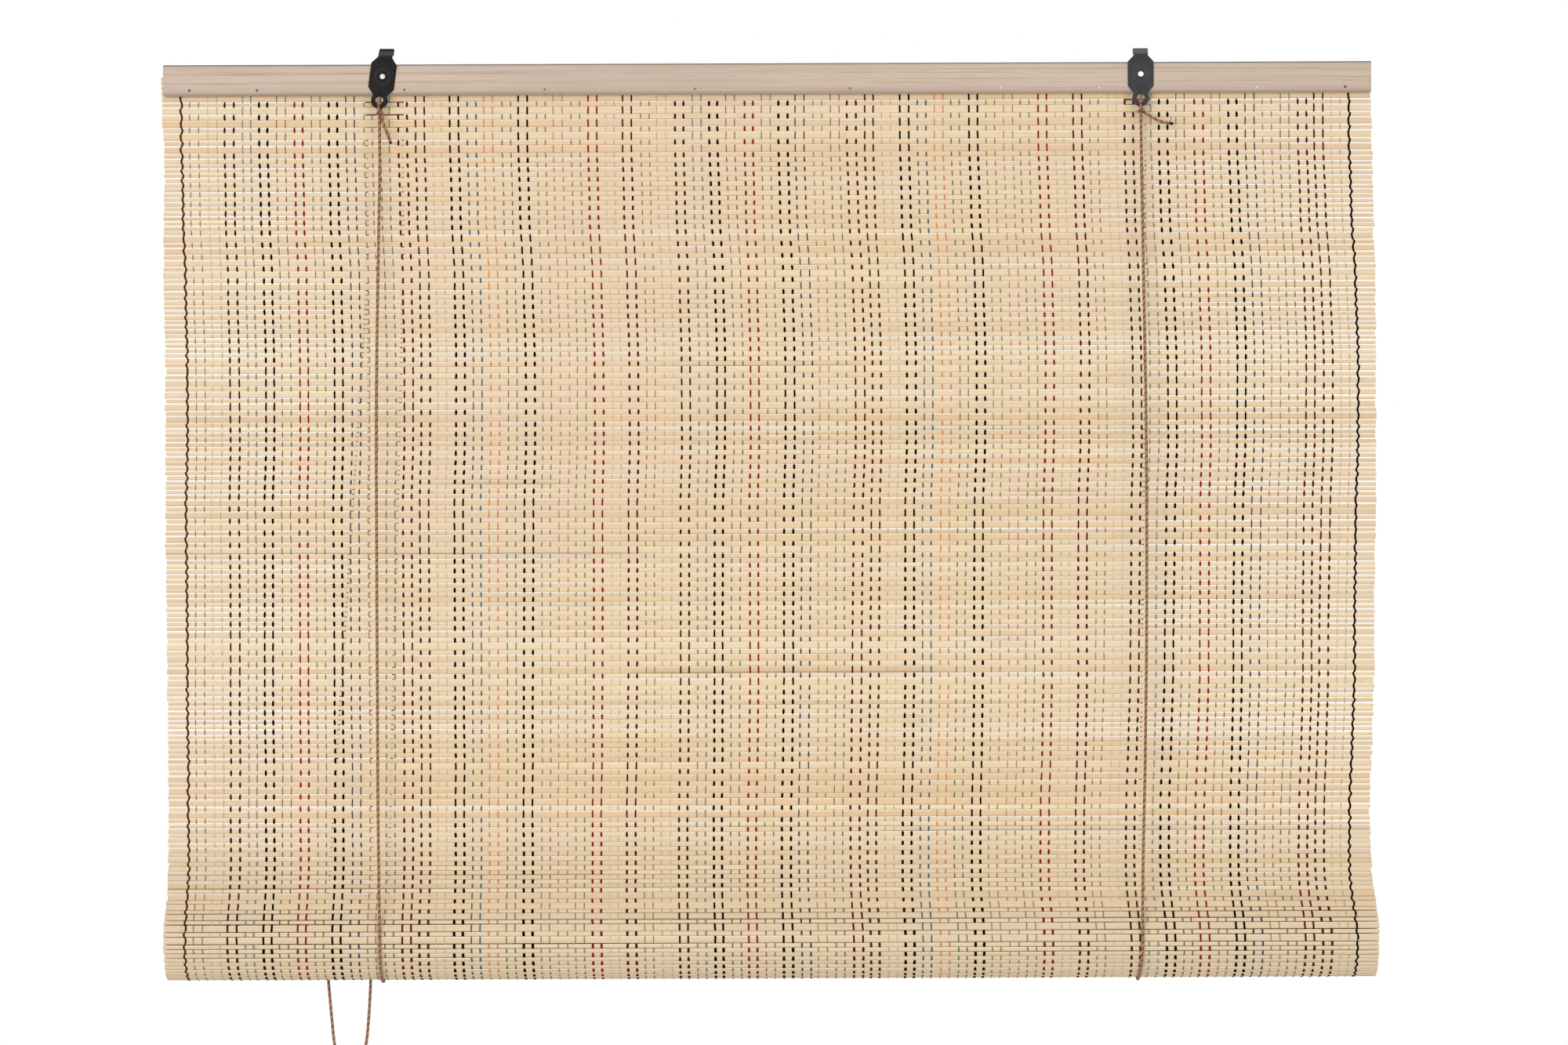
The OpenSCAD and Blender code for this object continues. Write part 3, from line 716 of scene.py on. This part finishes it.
def thread_points(x, first, last, start_front, wander, wide):
    """Line of one thread over and under slats first to last: points, and half widths there."""
    line = []
    for k in range(first, last + 1):
        slat = slats[k]
        front = ((k - LEAD_N) % 2 == 0) == start_front
        out = (SLAT_T / 2 + THREAD_H / 2) * (1 if front else -1)
        inset = min(TURN_INSET, slat["width"] * TURN_SHARE)
        lean = chance.uniform(-LEAN_OFF, LEAN_OFF)
        share = ON_WIDE if slat["wide"] else ON_NARROW
        line.append((gap_middle(k), 0.0, 0.0, IN_GAP))
        line.append((slat["from"] + inset, out, -lean, share))
        line.append((slat["to"] - inset, out, lean, share))
    line.append((slats[last]["to"] + SLAT_GAP / 2, 0.0, 0.0, IN_GAP))
    points = []
    for s, out, lean, _ in line:
        side = weave_x(x, s) + wander[0] * math.sin(s / SWAY_LEN + wander[1]) + lean
        points.append((side, *off_mat(s, out)))
    return np.array(points), np.array([share for *_, share in line]) * wide / 2


def edge_points(x, first, last, side):
    """Line of an edge thread, which crosses its partner in every gap and shows on each slat."""
    line = []
    for k in range(first, last + 1):
        slat = slats[k]
        bend = slat["width"] * EDGE_BEND
        zig = chance.uniform(*EDGE_ZIG) * (1 if k % 2 else -1)
        line.append((gap_middle(k), EDGE_IN_GAP, zig * ZIG_IN_GAP))
        line.append((slat["from"] + bend, EDGE_ON_SLAT, zig))
        line.append((slat["to"] - bend, EDGE_ON_SLAT, zig * ZIG_BELOW))
    line.append((slats[last]["to"] + SLAT_GAP / 2, EDGE_IN_GAP, 0.0))
    points = [(weave_x(x, s) + lean, *off_mat(s, out * side)) for s, out, lean in line]
    return np.array(points), np.full(len(points), EDGE_HALF)


def thread_piece(name, runs):
    """One piece from several thread lines: each with its points, half widths and dye."""
    verts, faces, dyes = [], [], []
    count = 0
    for points, half, dye in runs:
        way = np.gradient(points, axis=0)
        way[:, 0] = 0
        way /= np.linalg.norm(way, axis=1)[:, None]
        out = np.stack([np.zeros(len(points)), way[:, 2], -way[:, 1]], -1) * (THREAD_H / 2)
        side = np.stack([half, np.zeros(len(points)), np.zeros(len(points))], -1)
        ring = np.stack([points + side, points + out, points - side, points - out], 1)
        verts.append(ring.reshape(-1, 3))
        faces += tube_faces(len(points), 4, count)
        dyes.append(np.tile(dye, (len(points) * 4, 1)))
        count += len(points) * 4
    return piece_from(name, np.concatenate(verts), faces, THREAD, colours={"dye": np.concatenate(dyes)})


# Stretches of the mat that carry threads: name, first slat and last
SHORT_OF_CORE = 4
STRETCHES = [("hanging", LEAD_N - 1, FLAT_N - 1), ("bend", FLAT_N, BEND_N - 1),
             ("roll", BEND_N, OUTER_N - SHORT_OF_CORE)]
# Threads lie flatter and wider where the mat is wound tight
THREAD_SPREAD = {"hanging": 1.0, "bend": 1.06, "roll": 1.18}
thread_lines = {}
family_seen = {}
for pair in range(THREAD_N // 2):
    family = ORDER[pair % len(ORDER)]
    wide, shades = DYES[family]
    number = family_seen.get(family, 0)
    family_seen[family] = number + 1
    shade = shades[number % ORDER.count(family) % len(shades)]
    wander = (chance.uniform(*PAIR_SWAY), chance.uniform(0, FULL_TURN))
    for i in (2 * pair, 2 * pair + 1):
        x = -BLIND_W / 2 + THREAD_INSET + THREAD_PITCH * i + chance.uniform(-THREAD_OFF, THREAD_OFF)
        fade = chance.uniform(*SHADE_OFF)
        dye = np.array(srgb(*(c * fade for c in shade)))
        for stretch, first, last in STRETCHES:
            points, half = thread_points(x, first, last, pair % 2 == 1, wander, wide * THREAD_SPREAD[stretch])
            thread_lines.setdefault((family, stretch), []).append((points, half, dye))
for name, (x, shade) in EDGES.items():
    dye = np.array(srgb(*shade))
    for stretch, first, last in STRETCHES:
        for side in (1, -1):
            points, half = edge_points(x, first, last, side)
            thread_lines.setdefault((name, stretch), []).append((points, half, dye))
thread_pieces = {key: thread_piece(f"{key[0]}_threads_{key[1]}", runs) for key, runs in thread_lines.items()}


# Cords

# Cord sizes, and the places of the eyes, wheels and cords, as in the part's source
CORD_D = 3.0
CORD_R = CORD_D / 2
WHEEL_Z = -44.0
WRAP_R = 8.2
PLATE_Y = -4.6
NEAR_Y = 22.9
FAR_Y = 26.3
EYES = {"left": (-385.106, PLATE_Y, -44.596), "right": (371.0, PLATE_Y, -44.8)}
LEFT_OUTER_X = -392.1
LEFT_INNER_X = -372.7
RIGHT_WHEEL_X = 369.5
KNOT_FOOT = 18.5
# Room between the slings and the slats, and between the pull strands and the slings
SLING_ROOM = 0.3
STRAND_ROOM = 0.4
# Lay of a cord: length of one turn, sides, and its mean, swell and fray as shares of its radius
TWIST = 6.3
CORD_SIDES = 9
CORD_MEAN, STRAND_SWELL, FRAY = 0.98, 0.13, 0.05
STRAND_SHADES = (0.0, 1.0, 0.35)


def turn_r(angle):
    """Radius of the roll's outer turn at an angle from its start, in degrees."""
    return ROLL_R - TURN_PITCH * angle / 360


SLING_R = (turn_r(LEAN) + turn_r(LEAN + 180)) / 2 + SLAT_T / 2 + SLING_ROOM + CORD_R
SLING_Y = ROLL_Y - (turn_r(LEAN) - turn_r(LEAN + 180)) / 2
STRAND_Y = SLING_Y + SLING_R + STRAND_ROOM


def sling_angle(y, z, side):
    """Angle where a straight cord from y, z meets the sling, on its front (1) or back (-1)."""
    dy, dz = y - SLING_Y, z - ROLL_Z
    return math.atan2(dz, dy) + side * math.acos(SLING_R / math.hypot(dy, dz))


def sling_point(x, angle):
    """Point of a sling's middle line under the roll."""
    return (x, SLING_Y + SLING_R * math.cos(angle), ROLL_Z + SLING_R * math.sin(angle))


def route(points, step):
    """Smooth line through the points, cut into even steps."""
    p = np.array(points, float)
    p = np.vstack([2 * p[0] - p[1], p, 2 * p[-1] - p[-2]])
    fine = []
    for a, b, c, d in zip(p, p[1:], p[2:], p[3:]):
        pieces = max(2, int(np.linalg.norm(c - b) / (step * 0.5)))
        t = np.linspace(0, 1, pieces, endpoint=False)[:, None]
        fine.append(0.5 * (2 * b + (c - a) * t + (2 * a - 5 * b + 4 * c - d) * t ** 2
                           + (3 * b - a - 3 * c + d) * t ** 3))
    fine.append(p[-2][None])
    fine = np.concatenate(fine)
    far = np.concatenate([[0], np.cumsum(np.linalg.norm(np.diff(fine, axis=0), axis=1))])
    even = np.linspace(0, far[-1], max(3, int(round(far[-1] / step)) + 1))
    return np.stack([np.interp(even, far, fine[:, i]) for i in range(3)], -1), far[-1]


def twisted(name, points, step=1.0, burnt_end=0.0, thick=1.0):
    """Three strands laid together along the route: the piece, its centre line and its length."""
    line, length = route(points, step)
    way = np.gradient(line, axis=0)
    way /= np.linalg.norm(way, axis=1)[:, None]
    first = np.cross(way[0], (0, 0, 1) if abs(way[0][2]) < 0.9 else (1, 0, 0))
    side = first / np.linalg.norm(first)
    phi = np.arange(CORD_SIDES) * 2 * math.pi / CORD_SIDES
    lobe = np.cos(3 * phi)
    radius = CORD_R * thick * (CORD_MEAN + STRAND_SWELL * lobe)
    shades = np.repeat(STRAND_SHADES, 3)[(np.arange(CORD_SIDES) + 1) % CORD_SIDES]
    verts, burnt = [], []
    stepped = length / (len(line) - 1)
    for n, (point, ahead) in enumerate(zip(line, way)):
        side = side - ahead * side.dot(ahead)
        side /= np.linalg.norm(side)
        up = np.cross(ahead, side)
        angle = phi + 2 * math.pi * n * stepped / TWIST
        reach = radius * (1.0 + FRAY * math.sin(n * 1.7) * math.sin(n * 0.61))
        verts.append(point + (np.cos(angle) * reach)[:, None] * side + (np.sin(angle) * reach)[:, None] * up)
        burnt.append(np.full(CORD_SIDES, 1.0 if burnt_end and (length - n * stepped) < burnt_end else 0.0))
    faces = tube_faces(len(line), CORD_SIDES, 0)
    values = {"crown": np.tile(0.5 + 0.5 * lobe, len(line)), "strand": np.tile(shades, len(line)),
              "burnt": np.concatenate(burnt)}
    return piece_from(name, np.concatenate(verts), faces, CORD, values), line, length


def declare(exit_point):
    """Scales a cord's exit point to metres and keeps nothing."""
    [c * MM for c in exit_point]


# Where along a run it begins to stand off the raised roll, how far, and the share of it that falls plumb
OFF_FROM, STAND_OFF, PLUMB = 0.74, 3.2, 0.2
NO_BOW = (0,) * 14


def straight(start, end, bows, stand_off=0.0, hold=0.0):
    """Points from start to end with a sideways bow at each step.

    The line falls plumb for the share named by hold, and stands off forwards near its end.
    """
    count = len(bows) + 1
    points = [tuple(start)]
    for n, bow in enumerate(bows, 1):
        share = n / count
        along = max(0.0, (share - hold) / (1 - hold))
        forward = stand_off * max(0.0, math.sin(math.pi * (share - OFF_FROM) / (1 - OFF_FROM)))
        points.append((start[0] + (end[0] - start[0]) * along + bow,
                       start[1] + (end[1] - start[1]) * along - forward,
                       start[2] + (end[2] - start[2]) * share))
    return points + [tuple(end)]


# Knots at the bracket eyes, as offsets from the eye's middle
KNOT = [(0, 0, -18.5), (0, -0.4, -16.0), (-0.5, -2.2, -12.6), (-0.9, -4.0, -9.2), (-0.5, -4.3, -6.4),
        (-0.1, -3.0, -3.3), (0.3, 0.0, -2.0), (0.7, 3.0, -3.4), (1.0, 4.3, -6.4), (1.0, 3.4, -9.4),
        (1.4, 1.8, -11.4), (2.6, -0.8, -12.2), (1.2, -3.2, -12.8), (-1.4, -3.0, -13.4), (-2.5, 0.2, -13.4),
        (-1.2, 2.8, -13.0), (1.6, 2.6, -13.2), (3.0, -0.4, -14.0)]
TAILS = {
    "left": [(3.2, -2.8, -16.2), (3.3, -3.2, -20.0), (4.3, -3.0, -24.0), (6.4, -2.6, -29.5),
             (8.8, -1.9, -36.0), (11.4, -1.6, -43.4)],
    "right": [(4.6, -1.6, -15.4), (8.0, -1.9, -17.4), (12.6, -2.0, -20.2), (18.0, -2.1, -23.0),
              (24.5, -2.1, -25.0), (32.0, -2.1, -25.8)],
}
BURNT = {"left": 2.0, "right": 4.4}
KNOT_STEP = 0.9
cords = {}
knots = {}
for hand, eye in EYES.items():
    tied = [tuple(np.add(eye, p)) for p in KNOT + TAILS[hand]]
    knots[hand], _, _ = twisted(f"{hand}_knot_tied", tied, KNOT_STEP, BURNT[hand])
    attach(knots[hand], "head")
    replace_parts(knots[hand], f"{hand}_knot")

# A fibre that stands off each burnt tail
FIBRES = {"left": [(6.2, -3.4, -28.0), (8.9, -3.9, -33.0), (10.9, -3.6, -37.6), (12.6, -2.6, -42.4)],
          "right": [(27.6, -2.6, -24.6), (29.4, -3.2, -22.2), (30.0, -3.4, -18.4)]}
FIBRE_THICK = 0.26
for hand, eye in EYES.items():
    loose = [tuple(np.add(eye, p)) for p in FIBRES[hand]]
    fibre, _, _ = twisted(f"{hand}_tail_fibre", loose, KNOT_STEP, thick=FIBRE_THICK)
    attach(fibre, "head")

# Front runs, slings and back runs of the lift cords, with the slings' lean at each of their steps
BOWS = {"left": (0.2, -0.7, -1.6, -2.3, -2.8, -3.0, -3.0, -2.8, -2.6, -2.3, -2.0, -1.6, -1.0, -0.4),
        "right": (0.6, 1.5, 2.4, 3.2, 4.0, 4.5, 4.8, 4.9, 4.7, 4.3, 3.5, 2.5, 1.1, 0.1)}
SLING_STEPS = 20
SLING_LEAN = {"left": [(0, 0), (SLING_STEPS, 0)], "right": [(0, -3.5), (9, -5.5), (SLING_STEPS, 0)]}
BACKS = {"left": (LEFT_INNER_X, NEAR_Y), "right": (RIGHT_WHEEL_X, FAR_Y)}
for hand, eye in EYES.items():
    start = (eye[0], PLATE_Y, eye[2] - KNOT_FOOT)
    front = sling_angle(PLATE_Y, start[2], 1)
    wheel_x, cord_y = BACKS[hand]
    back = sling_angle(cord_y, WHEEL_Z, -1) + 2 * math.pi
    meet = sling_point(eye[0] + SLING_LEAN[hand][0][1], front)
    piece, line, length = twisted(f"{hand}_front_run", straight(start, meet, BOWS[hand], STAND_OFF))
    declare(start)
    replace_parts(piece, f"{hand}_front_cord")
    cords[f"{hand}_front"] = (piece, start[2], meet[2])
    bow = [sling_point(eye[0] + smooth_through(SLING_LEAN[hand], n), front + (back - front) * n / SLING_STEPS)
           for n in range(SLING_STEPS + 1)]
    piece, line, length = twisted(f"{hand}_roll_sling", bow)
    declare(meet)
    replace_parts(piece, f"{hand}_sling")
    cords[f"{hand}_sling"] = (piece, 0, 0)
    top = (wheel_x + WRAP_R, cord_y, WHEEL_Z)
    low = sling_point(eye[0], back)
    piece, line, length = twisted(f"{hand}_back_run", straight(top, low, NO_BOW, -STAND_OFF, PLUMB))
    declare(top)
    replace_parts(piece, f"{hand}_back_cord")
    cords[f"{hand}_back"] = (piece, top[2], low[2])


def over_wheels(from_x, cord_y):
    """Up the right of one wheel, along, and down the left of the outer left wheel."""
    rise = [(from_x + WRAP_R * math.cos(a), cord_y, WHEEL_Z + WRAP_R * math.sin(a))
            for a in np.radians(np.arange(0, 91, 15))]
    level = [(from_x + (LEFT_OUTER_X - from_x) * n / 10, cord_y, WHEEL_Z + WRAP_R) for n in range(1, 10)]
    fall = [(LEFT_OUTER_X + WRAP_R * math.cos(a), cord_y, WHEEL_Z + WRAP_R * math.sin(a))
            for a in np.radians(np.arange(90, 181, 15))]
    return rise + level + fall


for name, node, from_x, cord_y in (("left_lead_run", "left_lead_cord", LEFT_INNER_X, NEAR_Y),
                                   ("cross_run", "cross_cord", RIGHT_WHEEL_X, FAR_Y)):
    piece, line, length = twisted(name, over_wheels(from_x, cord_y))
    declare(line[0])
    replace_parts(piece, node)
    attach(piece, "head")

# Pull strands behind the mat
STRANDS = {"left": (FAR_Y, -447.0), "right": (NEAR_Y, -400.0)}
for hand, (cord_y, roll_x) in STRANDS.items():
    start = (LEFT_OUTER_X - WRAP_R, cord_y, WHEEL_Z)
    end = (roll_x, STRAND_Y, ROLL_Z)
    piece, line, length = twisted(f"{hand}_pull_run", straight(start, end, NO_BOW, -STAND_OFF, PLUMB))
    declare(start)
    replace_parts(piece, f"{hand}_pull_strand")
    cords[f"{hand}_pull"] = (piece, start[2], end[2])

# Both strands below the roll and the coil between them, as one cord
COIL = (-422.0, STRAND_Y, -1075.0)
COIL_COLUMNS = 4
COLUMN_STEP = 3.4
COLUMN_POINTS = 83
COIL_HALF = (COIL_COLUMNS - 1) / 2 * COLUMN_STEP
COIL_INNER, COIL_OUTER = 13.0, 23.0
# Angle at which the coil begins, angle from point to point, and points in which it crosses to the next column
COIL_START, COIL_ANGLE, CROSS_POINTS = 52, 15, 5
# Height at which the strands begin to part towards the coil's two faces, and the height in which they do
PART_FROM, PART_LEN = -1000.0, 45.0
DOWN = [(-447.0, -878.2), (-446.4, -892), (-445.6, -908), (-444.4, -926), (-442.8, -945), (-441.0, -965),
        (-439.0, -985), (-435.4, -1005), (-430.8, -1022), (-426.2, -1034), (-421.8, -1042.5),
        (-416.2, -1049.4)]
UP = [(-428.2, -1049.0), (-423.6, -1042.0), (-419.4, -1033), (-415.4, -1021), (-410.2, -1004), (-406.4, -985),
      (-404.4, -965), (-403.0, -945), (-402.1, -926), (-401.4, -908), (-400.6, -892), (-400.0, -878.2)]


def coil_points():
    """Turns wound clockwise, in and out column by column, so that both ends are outside."""
    points = []
    angle = math.radians(COIL_START)
    for column in range(COIL_COLUMNS):
        y = COIL[1] + (column - (COIL_COLUMNS - 1) / 2) * COLUMN_STEP
        for n in range(COLUMN_POINTS):
            share = n / COLUMN_POINTS
            r = COIL_OUTER + (COIL_INNER - COIL_OUTER) * (share if column % 2 == 0 else 1 - share)
            ease = min(1.0, n / CROSS_POINTS) if column else 1.0
            y_here = y - COLUMN_STEP * (1 - ease * ease * (3 - 2 * ease))
            points.append((COIL[0] + r * math.cos(angle), y_here, COIL[2] + r * math.sin(angle)))
            angle -= math.radians(COIL_ANGLE)
    return points


def parted(strand, depth):
    """Points of a strand that moves by depth from the coil's middle on its way down."""
    return [(x, COIL[1] + depth * min(1, max(0, (PART_FROM - z) / PART_LEN)), z) for x, z in strand]


down = parted(DOWN, -COIL_HALF)
pull_cord, line, length = twisted("pull_cord_and_coil", down + coil_points() + parted(UP, COIL_HALF))
declare(down[0])
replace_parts(pull_cord, "pull_loop", "pull_coil")

# Motion

for stretch, _, _ in STRETCHES:
    for family in (*DYES, *EDGES):
        piece = thread_pieces[(family, stretch)]
        if stretch == "hanging":
            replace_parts(piece, family + ("_thread" if family in EDGES else "_threads"))
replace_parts(hanging_slats, "hanging_mat")
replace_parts(bend_slats, "mat_bend")
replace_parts(roll_slats, "rolled_mat")


def threads_of(stretch):
    """All threads of one stretch of the mat."""
    return [piece for key, piece in thread_pieces.items() if key[1] == stretch]


# Pushed together, the hanging slats end just above the first slat of the bend
STACK_GAP = 0.65
FLAT_KEEP = (slats[FLAT_N]["from"] - STACK_GAP - LIFT) / slats[FLAT_N - 1]["to"]
for piece in [hanging_slats] + threads_of("hanging"):
    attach(piece, "head")
    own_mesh(piece)
for piece in [bend_slats] + threads_of("bend"):
    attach(piece, "cradle")
for piece in [roll_slats, core_slats] + threads_of("roll"):
    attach(piece, "roll")
for name, (piece, top, low) in cords.items():
    if name.endswith("sling"):
        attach(piece, "cradle")
    else:
        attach(piece, "head")
        top * MM
        (top - low - LIFT) / (top - low)
        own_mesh(piece)
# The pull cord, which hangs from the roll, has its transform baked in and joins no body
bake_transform(pull_cord)

# Bracket screws

HEAD_R, HEAD_H, HEAD_EASE = 2.9, 1.6, 0.9
RECESS_L, RECESS_W, RECESS_CUT = 3.6, 0.8, 1.5
SHANK_R, SHANK_L = 1.7, 11.2
SCREW_X = {"left": -382.0, "right": 371.0}
SCREW_Z = -21.0
SCREW_SEAT_Y = -5.2


def pan_screw(name, x, turned, finish):
    """Pan head screw with a cross recess, its shank through the bracket into the rail."""
    bpy.ops.object.select_all(action="DESELECT")
    bpy.ops.mesh.primitive_cylinder_add(vertices=40, radius=HEAD_R * MM, depth=HEAD_H * MM,
                                        location=(0, 0, HEAD_H / 2 * MM))
    head = bpy.context.object
    pick_edges(head, lambda a, b: min(a.z, b.z) > 0)
    bpy.ops.mesh.bevel(offset=HEAD_EASE * MM, segments=4, profile=0.5, affect="EDGES")
    bpy.ops.object.mode_set(mode="OBJECT")
    for angle in (turned, turned + 90):
        bpy.ops.mesh.primitive_cube_add(size=1, location=(0, 0, HEAD_H * MM),
                                        rotation=(0, 0, math.radians(angle)))
        cutter = bpy.context.object
        cutter.scale = (RECESS_L * MM, RECESS_W * MM, RECESS_CUT * MM)
        cut = head.modifiers.new("recess", "BOOLEAN")
        cut.operation = "DIFFERENCE"
        cut.object = cutter
        bpy.context.view_layer.objects.active = head
        bpy.ops.object.modifier_apply(modifier="recess")
        bpy.data.objects.remove(cutter, do_unlink=True)
    bpy.ops.mesh.primitive_cylinder_add(vertices=24, radius=SHANK_R * MM, depth=SHANK_L * MM,
                                        location=(0, 0, -SHANK_L / 2 * MM))
    head.select_set(True)
    bpy.context.view_layer.objects.active = head
    bpy.ops.object.join()
    head.rotation_euler = (math.radians(90), 0, 0)
    head.location = (x * MM, SCREW_SEAT_Y * MM, SCREW_Z * MM)
    bpy.ops.object.transform_apply(location=True, rotation=True, scale=True)
    bpy.ops.object.shade_smooth_by_angle(angle=math.radians(35))
    head.name = name
    head.data.name = name
    coat(head, finish)
    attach(head, "head")
    return head


ZINC = bright_metal_finish("zinc_plate", srgb(232, 232, 234), 0.22)
# Painted shade: the left screw is the same zinc as the right, painted greyer
SHADED_ZINC = bright_metal_finish("shaded_zinc", srgb(176, 176, 180), 0.36)
for hand, turned, finish in (("left", 20, SHADED_ZINC), ("right", 48, ZINC)):
    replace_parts(pan_screw(f"{hand}_pan_screw", SCREW_X[hand], turned, finish), f"{hand}_bracket_screw")

# Brackets, as the CAD's with eased edges

STEEL_EASE = 0.22
# The left one's tab: its rise and its shift, the heights between which it bends, its middle, and its turn
TAB_RISE, TAB_SIDE = 2.0, 0.9
TAB_FOOT, TAB_TOP, TAB_X = -8.0, 4.0, -380.0
TILT = math.tan(math.radians(7.0))


def eased_bracket(hand, finish, rise):
    """The CAD bracket with its sharp edges broken, as pressed steel has them, and its tab bent up by rise."""
    piece = merged_copy(f"{hand}_bracket", f"{hand}_pressed_bracket")
    ease = piece.modifiers.new("ease", "BEVEL")
    ease.width = STEEL_EASE * MM
    ease.segments = 2
    ease.limit_method = "ANGLE"
    ease.angle_limit = math.radians(40)
    bpy.ops.object.modifier_apply(modifier="ease")
    bpy.ops.object.shade_smooth_by_angle(angle=math.radians(35))
    if rise:
        for point in piece.data.vertices:
            share = min(1, max(0, (point.co.z / MM - TAB_FOOT) / (TAB_TOP - TAB_FOOT)))
            point.co.z += (rise * MM + (point.co.x - TAB_X * MM) * TILT) * share
            point.co.x += TAB_SIDE * MM * share
    coat(piece, finish)
    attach(piece, "head")
    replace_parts(piece, f"{hand}_bracket")


# Rail, as the CAD's with its lower edge planed back

PLANED_FROM, PLANED_SHARE = -36.0, 0.67


def planed_rail(finish):
    """The CAD rail with the part below one height drawn up by a share."""
    piece = merged_copy("head_rail", "planed_rail")
    for point in piece.data.vertices:
        if point.co.z < PLANED_FROM * MM:
            point.co.z = PLANED_FROM * MM + (point.co.z - PLANED_FROM * MM) * PLANED_SHARE
    bpy.ops.object.shade_flat()
    coat(piece, finish)
    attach(piece, "head")
    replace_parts(piece, "head_rail")


# Finishes of the rail, the brackets and the CAD pieces that stay

# The right bracket is the same black steel as the left, painted paler as painted sheen
BLACK_PAINT, SHEEN_PAINTED_BLACK = srgb(22, 21, 22), srgb(34, 34, 36)
# Screws of the pulley plates, across and up
LEFT_PLATE_SCREW = ((LEFT_OUTER_X + LEFT_INNER_X) / 2, -18.0)
RIGHT_PLATE_SCREW = (RIGHT_WHEEL_X, -18.0)
LATH = rail_finish("lath_wood", srgb(214, 190, 154), srgb(178, 144, 104), False)
NODE_FINISHES = {
    "back_lath": LATH,
    "bottom_batten": LATH,
    "left_pulley_plate": black_steel_finish("black_steel_block_left", BLACK_PAINT, LEFT_PLATE_SCREW, 0.44),
    "right_pulley_plate": black_steel_finish("black_steel_block_right", BLACK_PAINT, RIGHT_PLATE_SCREW, 0.44),
}
planed_rail(rail_finish("rail_wood", srgb(205, 184, 164), srgb(158, 122, 98), True))
# Each bracket's gloss, shine, and strength of the painted highlight and shade on its tab
for hand, shade, looks, rise in (("left", BLACK_PAINT, (0.40, 0.12, 0.22), TAB_RISE),
                                 ("right", SHEEN_PAINTED_BLACK, (0.34, 0.32, 0.40), 0.0)):
    steel = black_steel_finish(f"black_steel_{hand}", shade, (SCREW_X[hand], SCREW_Z), *looks)
    eased_bracket(hand, steel, rise)
NODE_FINISHES["rail_brads"] = nail_finish()
NODE_FINISHES.update(dict.fromkeys(("left_outer_wheel", "left_inner_wheel", "right_wheel"), wheel_finish()))
NODE_FINISHES.update(dict.fromkeys(("pulley_screws", "left_wheel_pins", "right_wheel_pin"), ZINC))
NODE_FINISHES["coil_tie"] = tie_finish()
for name, finish in NODE_FINISHES.items():
    coat(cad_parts[name], finish)

# Stage, light and camera

FLOOR_Z = -1.112
FLOOR_SIZE = (3.4, 2.0, 1)
bpy.ops.object.select_all(action="DESELECT")
bpy.ops.mesh.primitive_plane_add(size=1, location=(0, 0, FLOOR_Z))
floor = bpy.context.object
floor.name = "pale_floor"
floor.scale = FLOOR_SIZE
bpy.ops.object.transform_apply(location=False, rotation=False, scale=True)
floor.data.materials.append(floor_finish())


def soft_lamp(name, place, aim, size, power):
    """A softbox at a place, turned to what it lights."""
    lamp = bpy.data.lights.new(name, "AREA")
    lamp.shape = "RECTANGLE"
    lamp.size, lamp.size_y = size
    lamp.energy = power
    hung = bpy.data.objects.new(name, lamp)
    hung.location = place
    hung.rotation_euler = (Vector(aim) - Vector(place)).to_track_quat("-Z", "Y").to_euler()
    bpy.context.scene.collection.objects.link(hung)


soft_lamp("key_softbox", (-1.3, -3.4, 0.1), (0, 0, -0.45), (2.2, 1.6), 53.5)
soft_lamp("fill_softbox", (1.9, -3.2, -0.2), (0, 0, -0.5), (2.0, 2.0), 30.5)
soft_lamp("back_softbox", (0.2, 2.6, 1.2), (0, 0, -0.4), (2.4, 1.6), 30)
soft_lamp("top_strip", (0.3, -1.3, 1.5), (0, 0, 0), (2.4, 0.3), 5)

# White where it is seen, directly or mirrored, and dimmer as a light
ROOM_LIGHT = 0.38
world = bpy.data.worlds.new("white_studio")
bpy.context.scene.world = world
world.use_nodes = True
nodes, links = world.node_tree.nodes, world.node_tree.links
nodes.clear()
rays = nodes.new("ShaderNodeLightPath")
seen = rays.outputs["Is Camera Ray"]
for ray in ("Is Glossy Ray", "Is Transmission Ray"):
    either = nodes.new("ShaderNodeMath")
    either.operation = "MAXIMUM"
    links.new(seen, either.inputs[0])
    links.new(rays.outputs[ray], either.inputs[1])
    seen = either.outputs[0]
strength = nodes.new("ShaderNodeMapRange")
strength.inputs["To Min"].default_value = ROOM_LIGHT
strength.inputs["To Max"].default_value = 1.0
links.new(seen, strength.inputs["Value"])
sky = nodes.new("ShaderNodeBackground")
sky.inputs["Color"].default_value = (1, 1, 1, 1)
links.new(strength.outputs[0], sky.inputs["Strength"])
links.new(sky.outputs[0], nodes.new("ShaderNodeOutputWorld").inputs["Surface"])

lens = bpy.data.cameras.new("photo_camera")
lens.sensor_width = 36
lens.sensor_fit = "HORIZONTAL"
lens.lens = 101.7
camera = bpy.data.objects.new("photo_camera", lens)
camera.location = (0.0152, -4.4037, -0.4652)
camera.rotation_euler = (math.radians(90), math.radians(0.2), 0)
bpy.context.scene.collection.objects.link(camera)
bpy.context.scene.camera = camera
bpy.context.scene.view_settings.view_transform = "Standard"
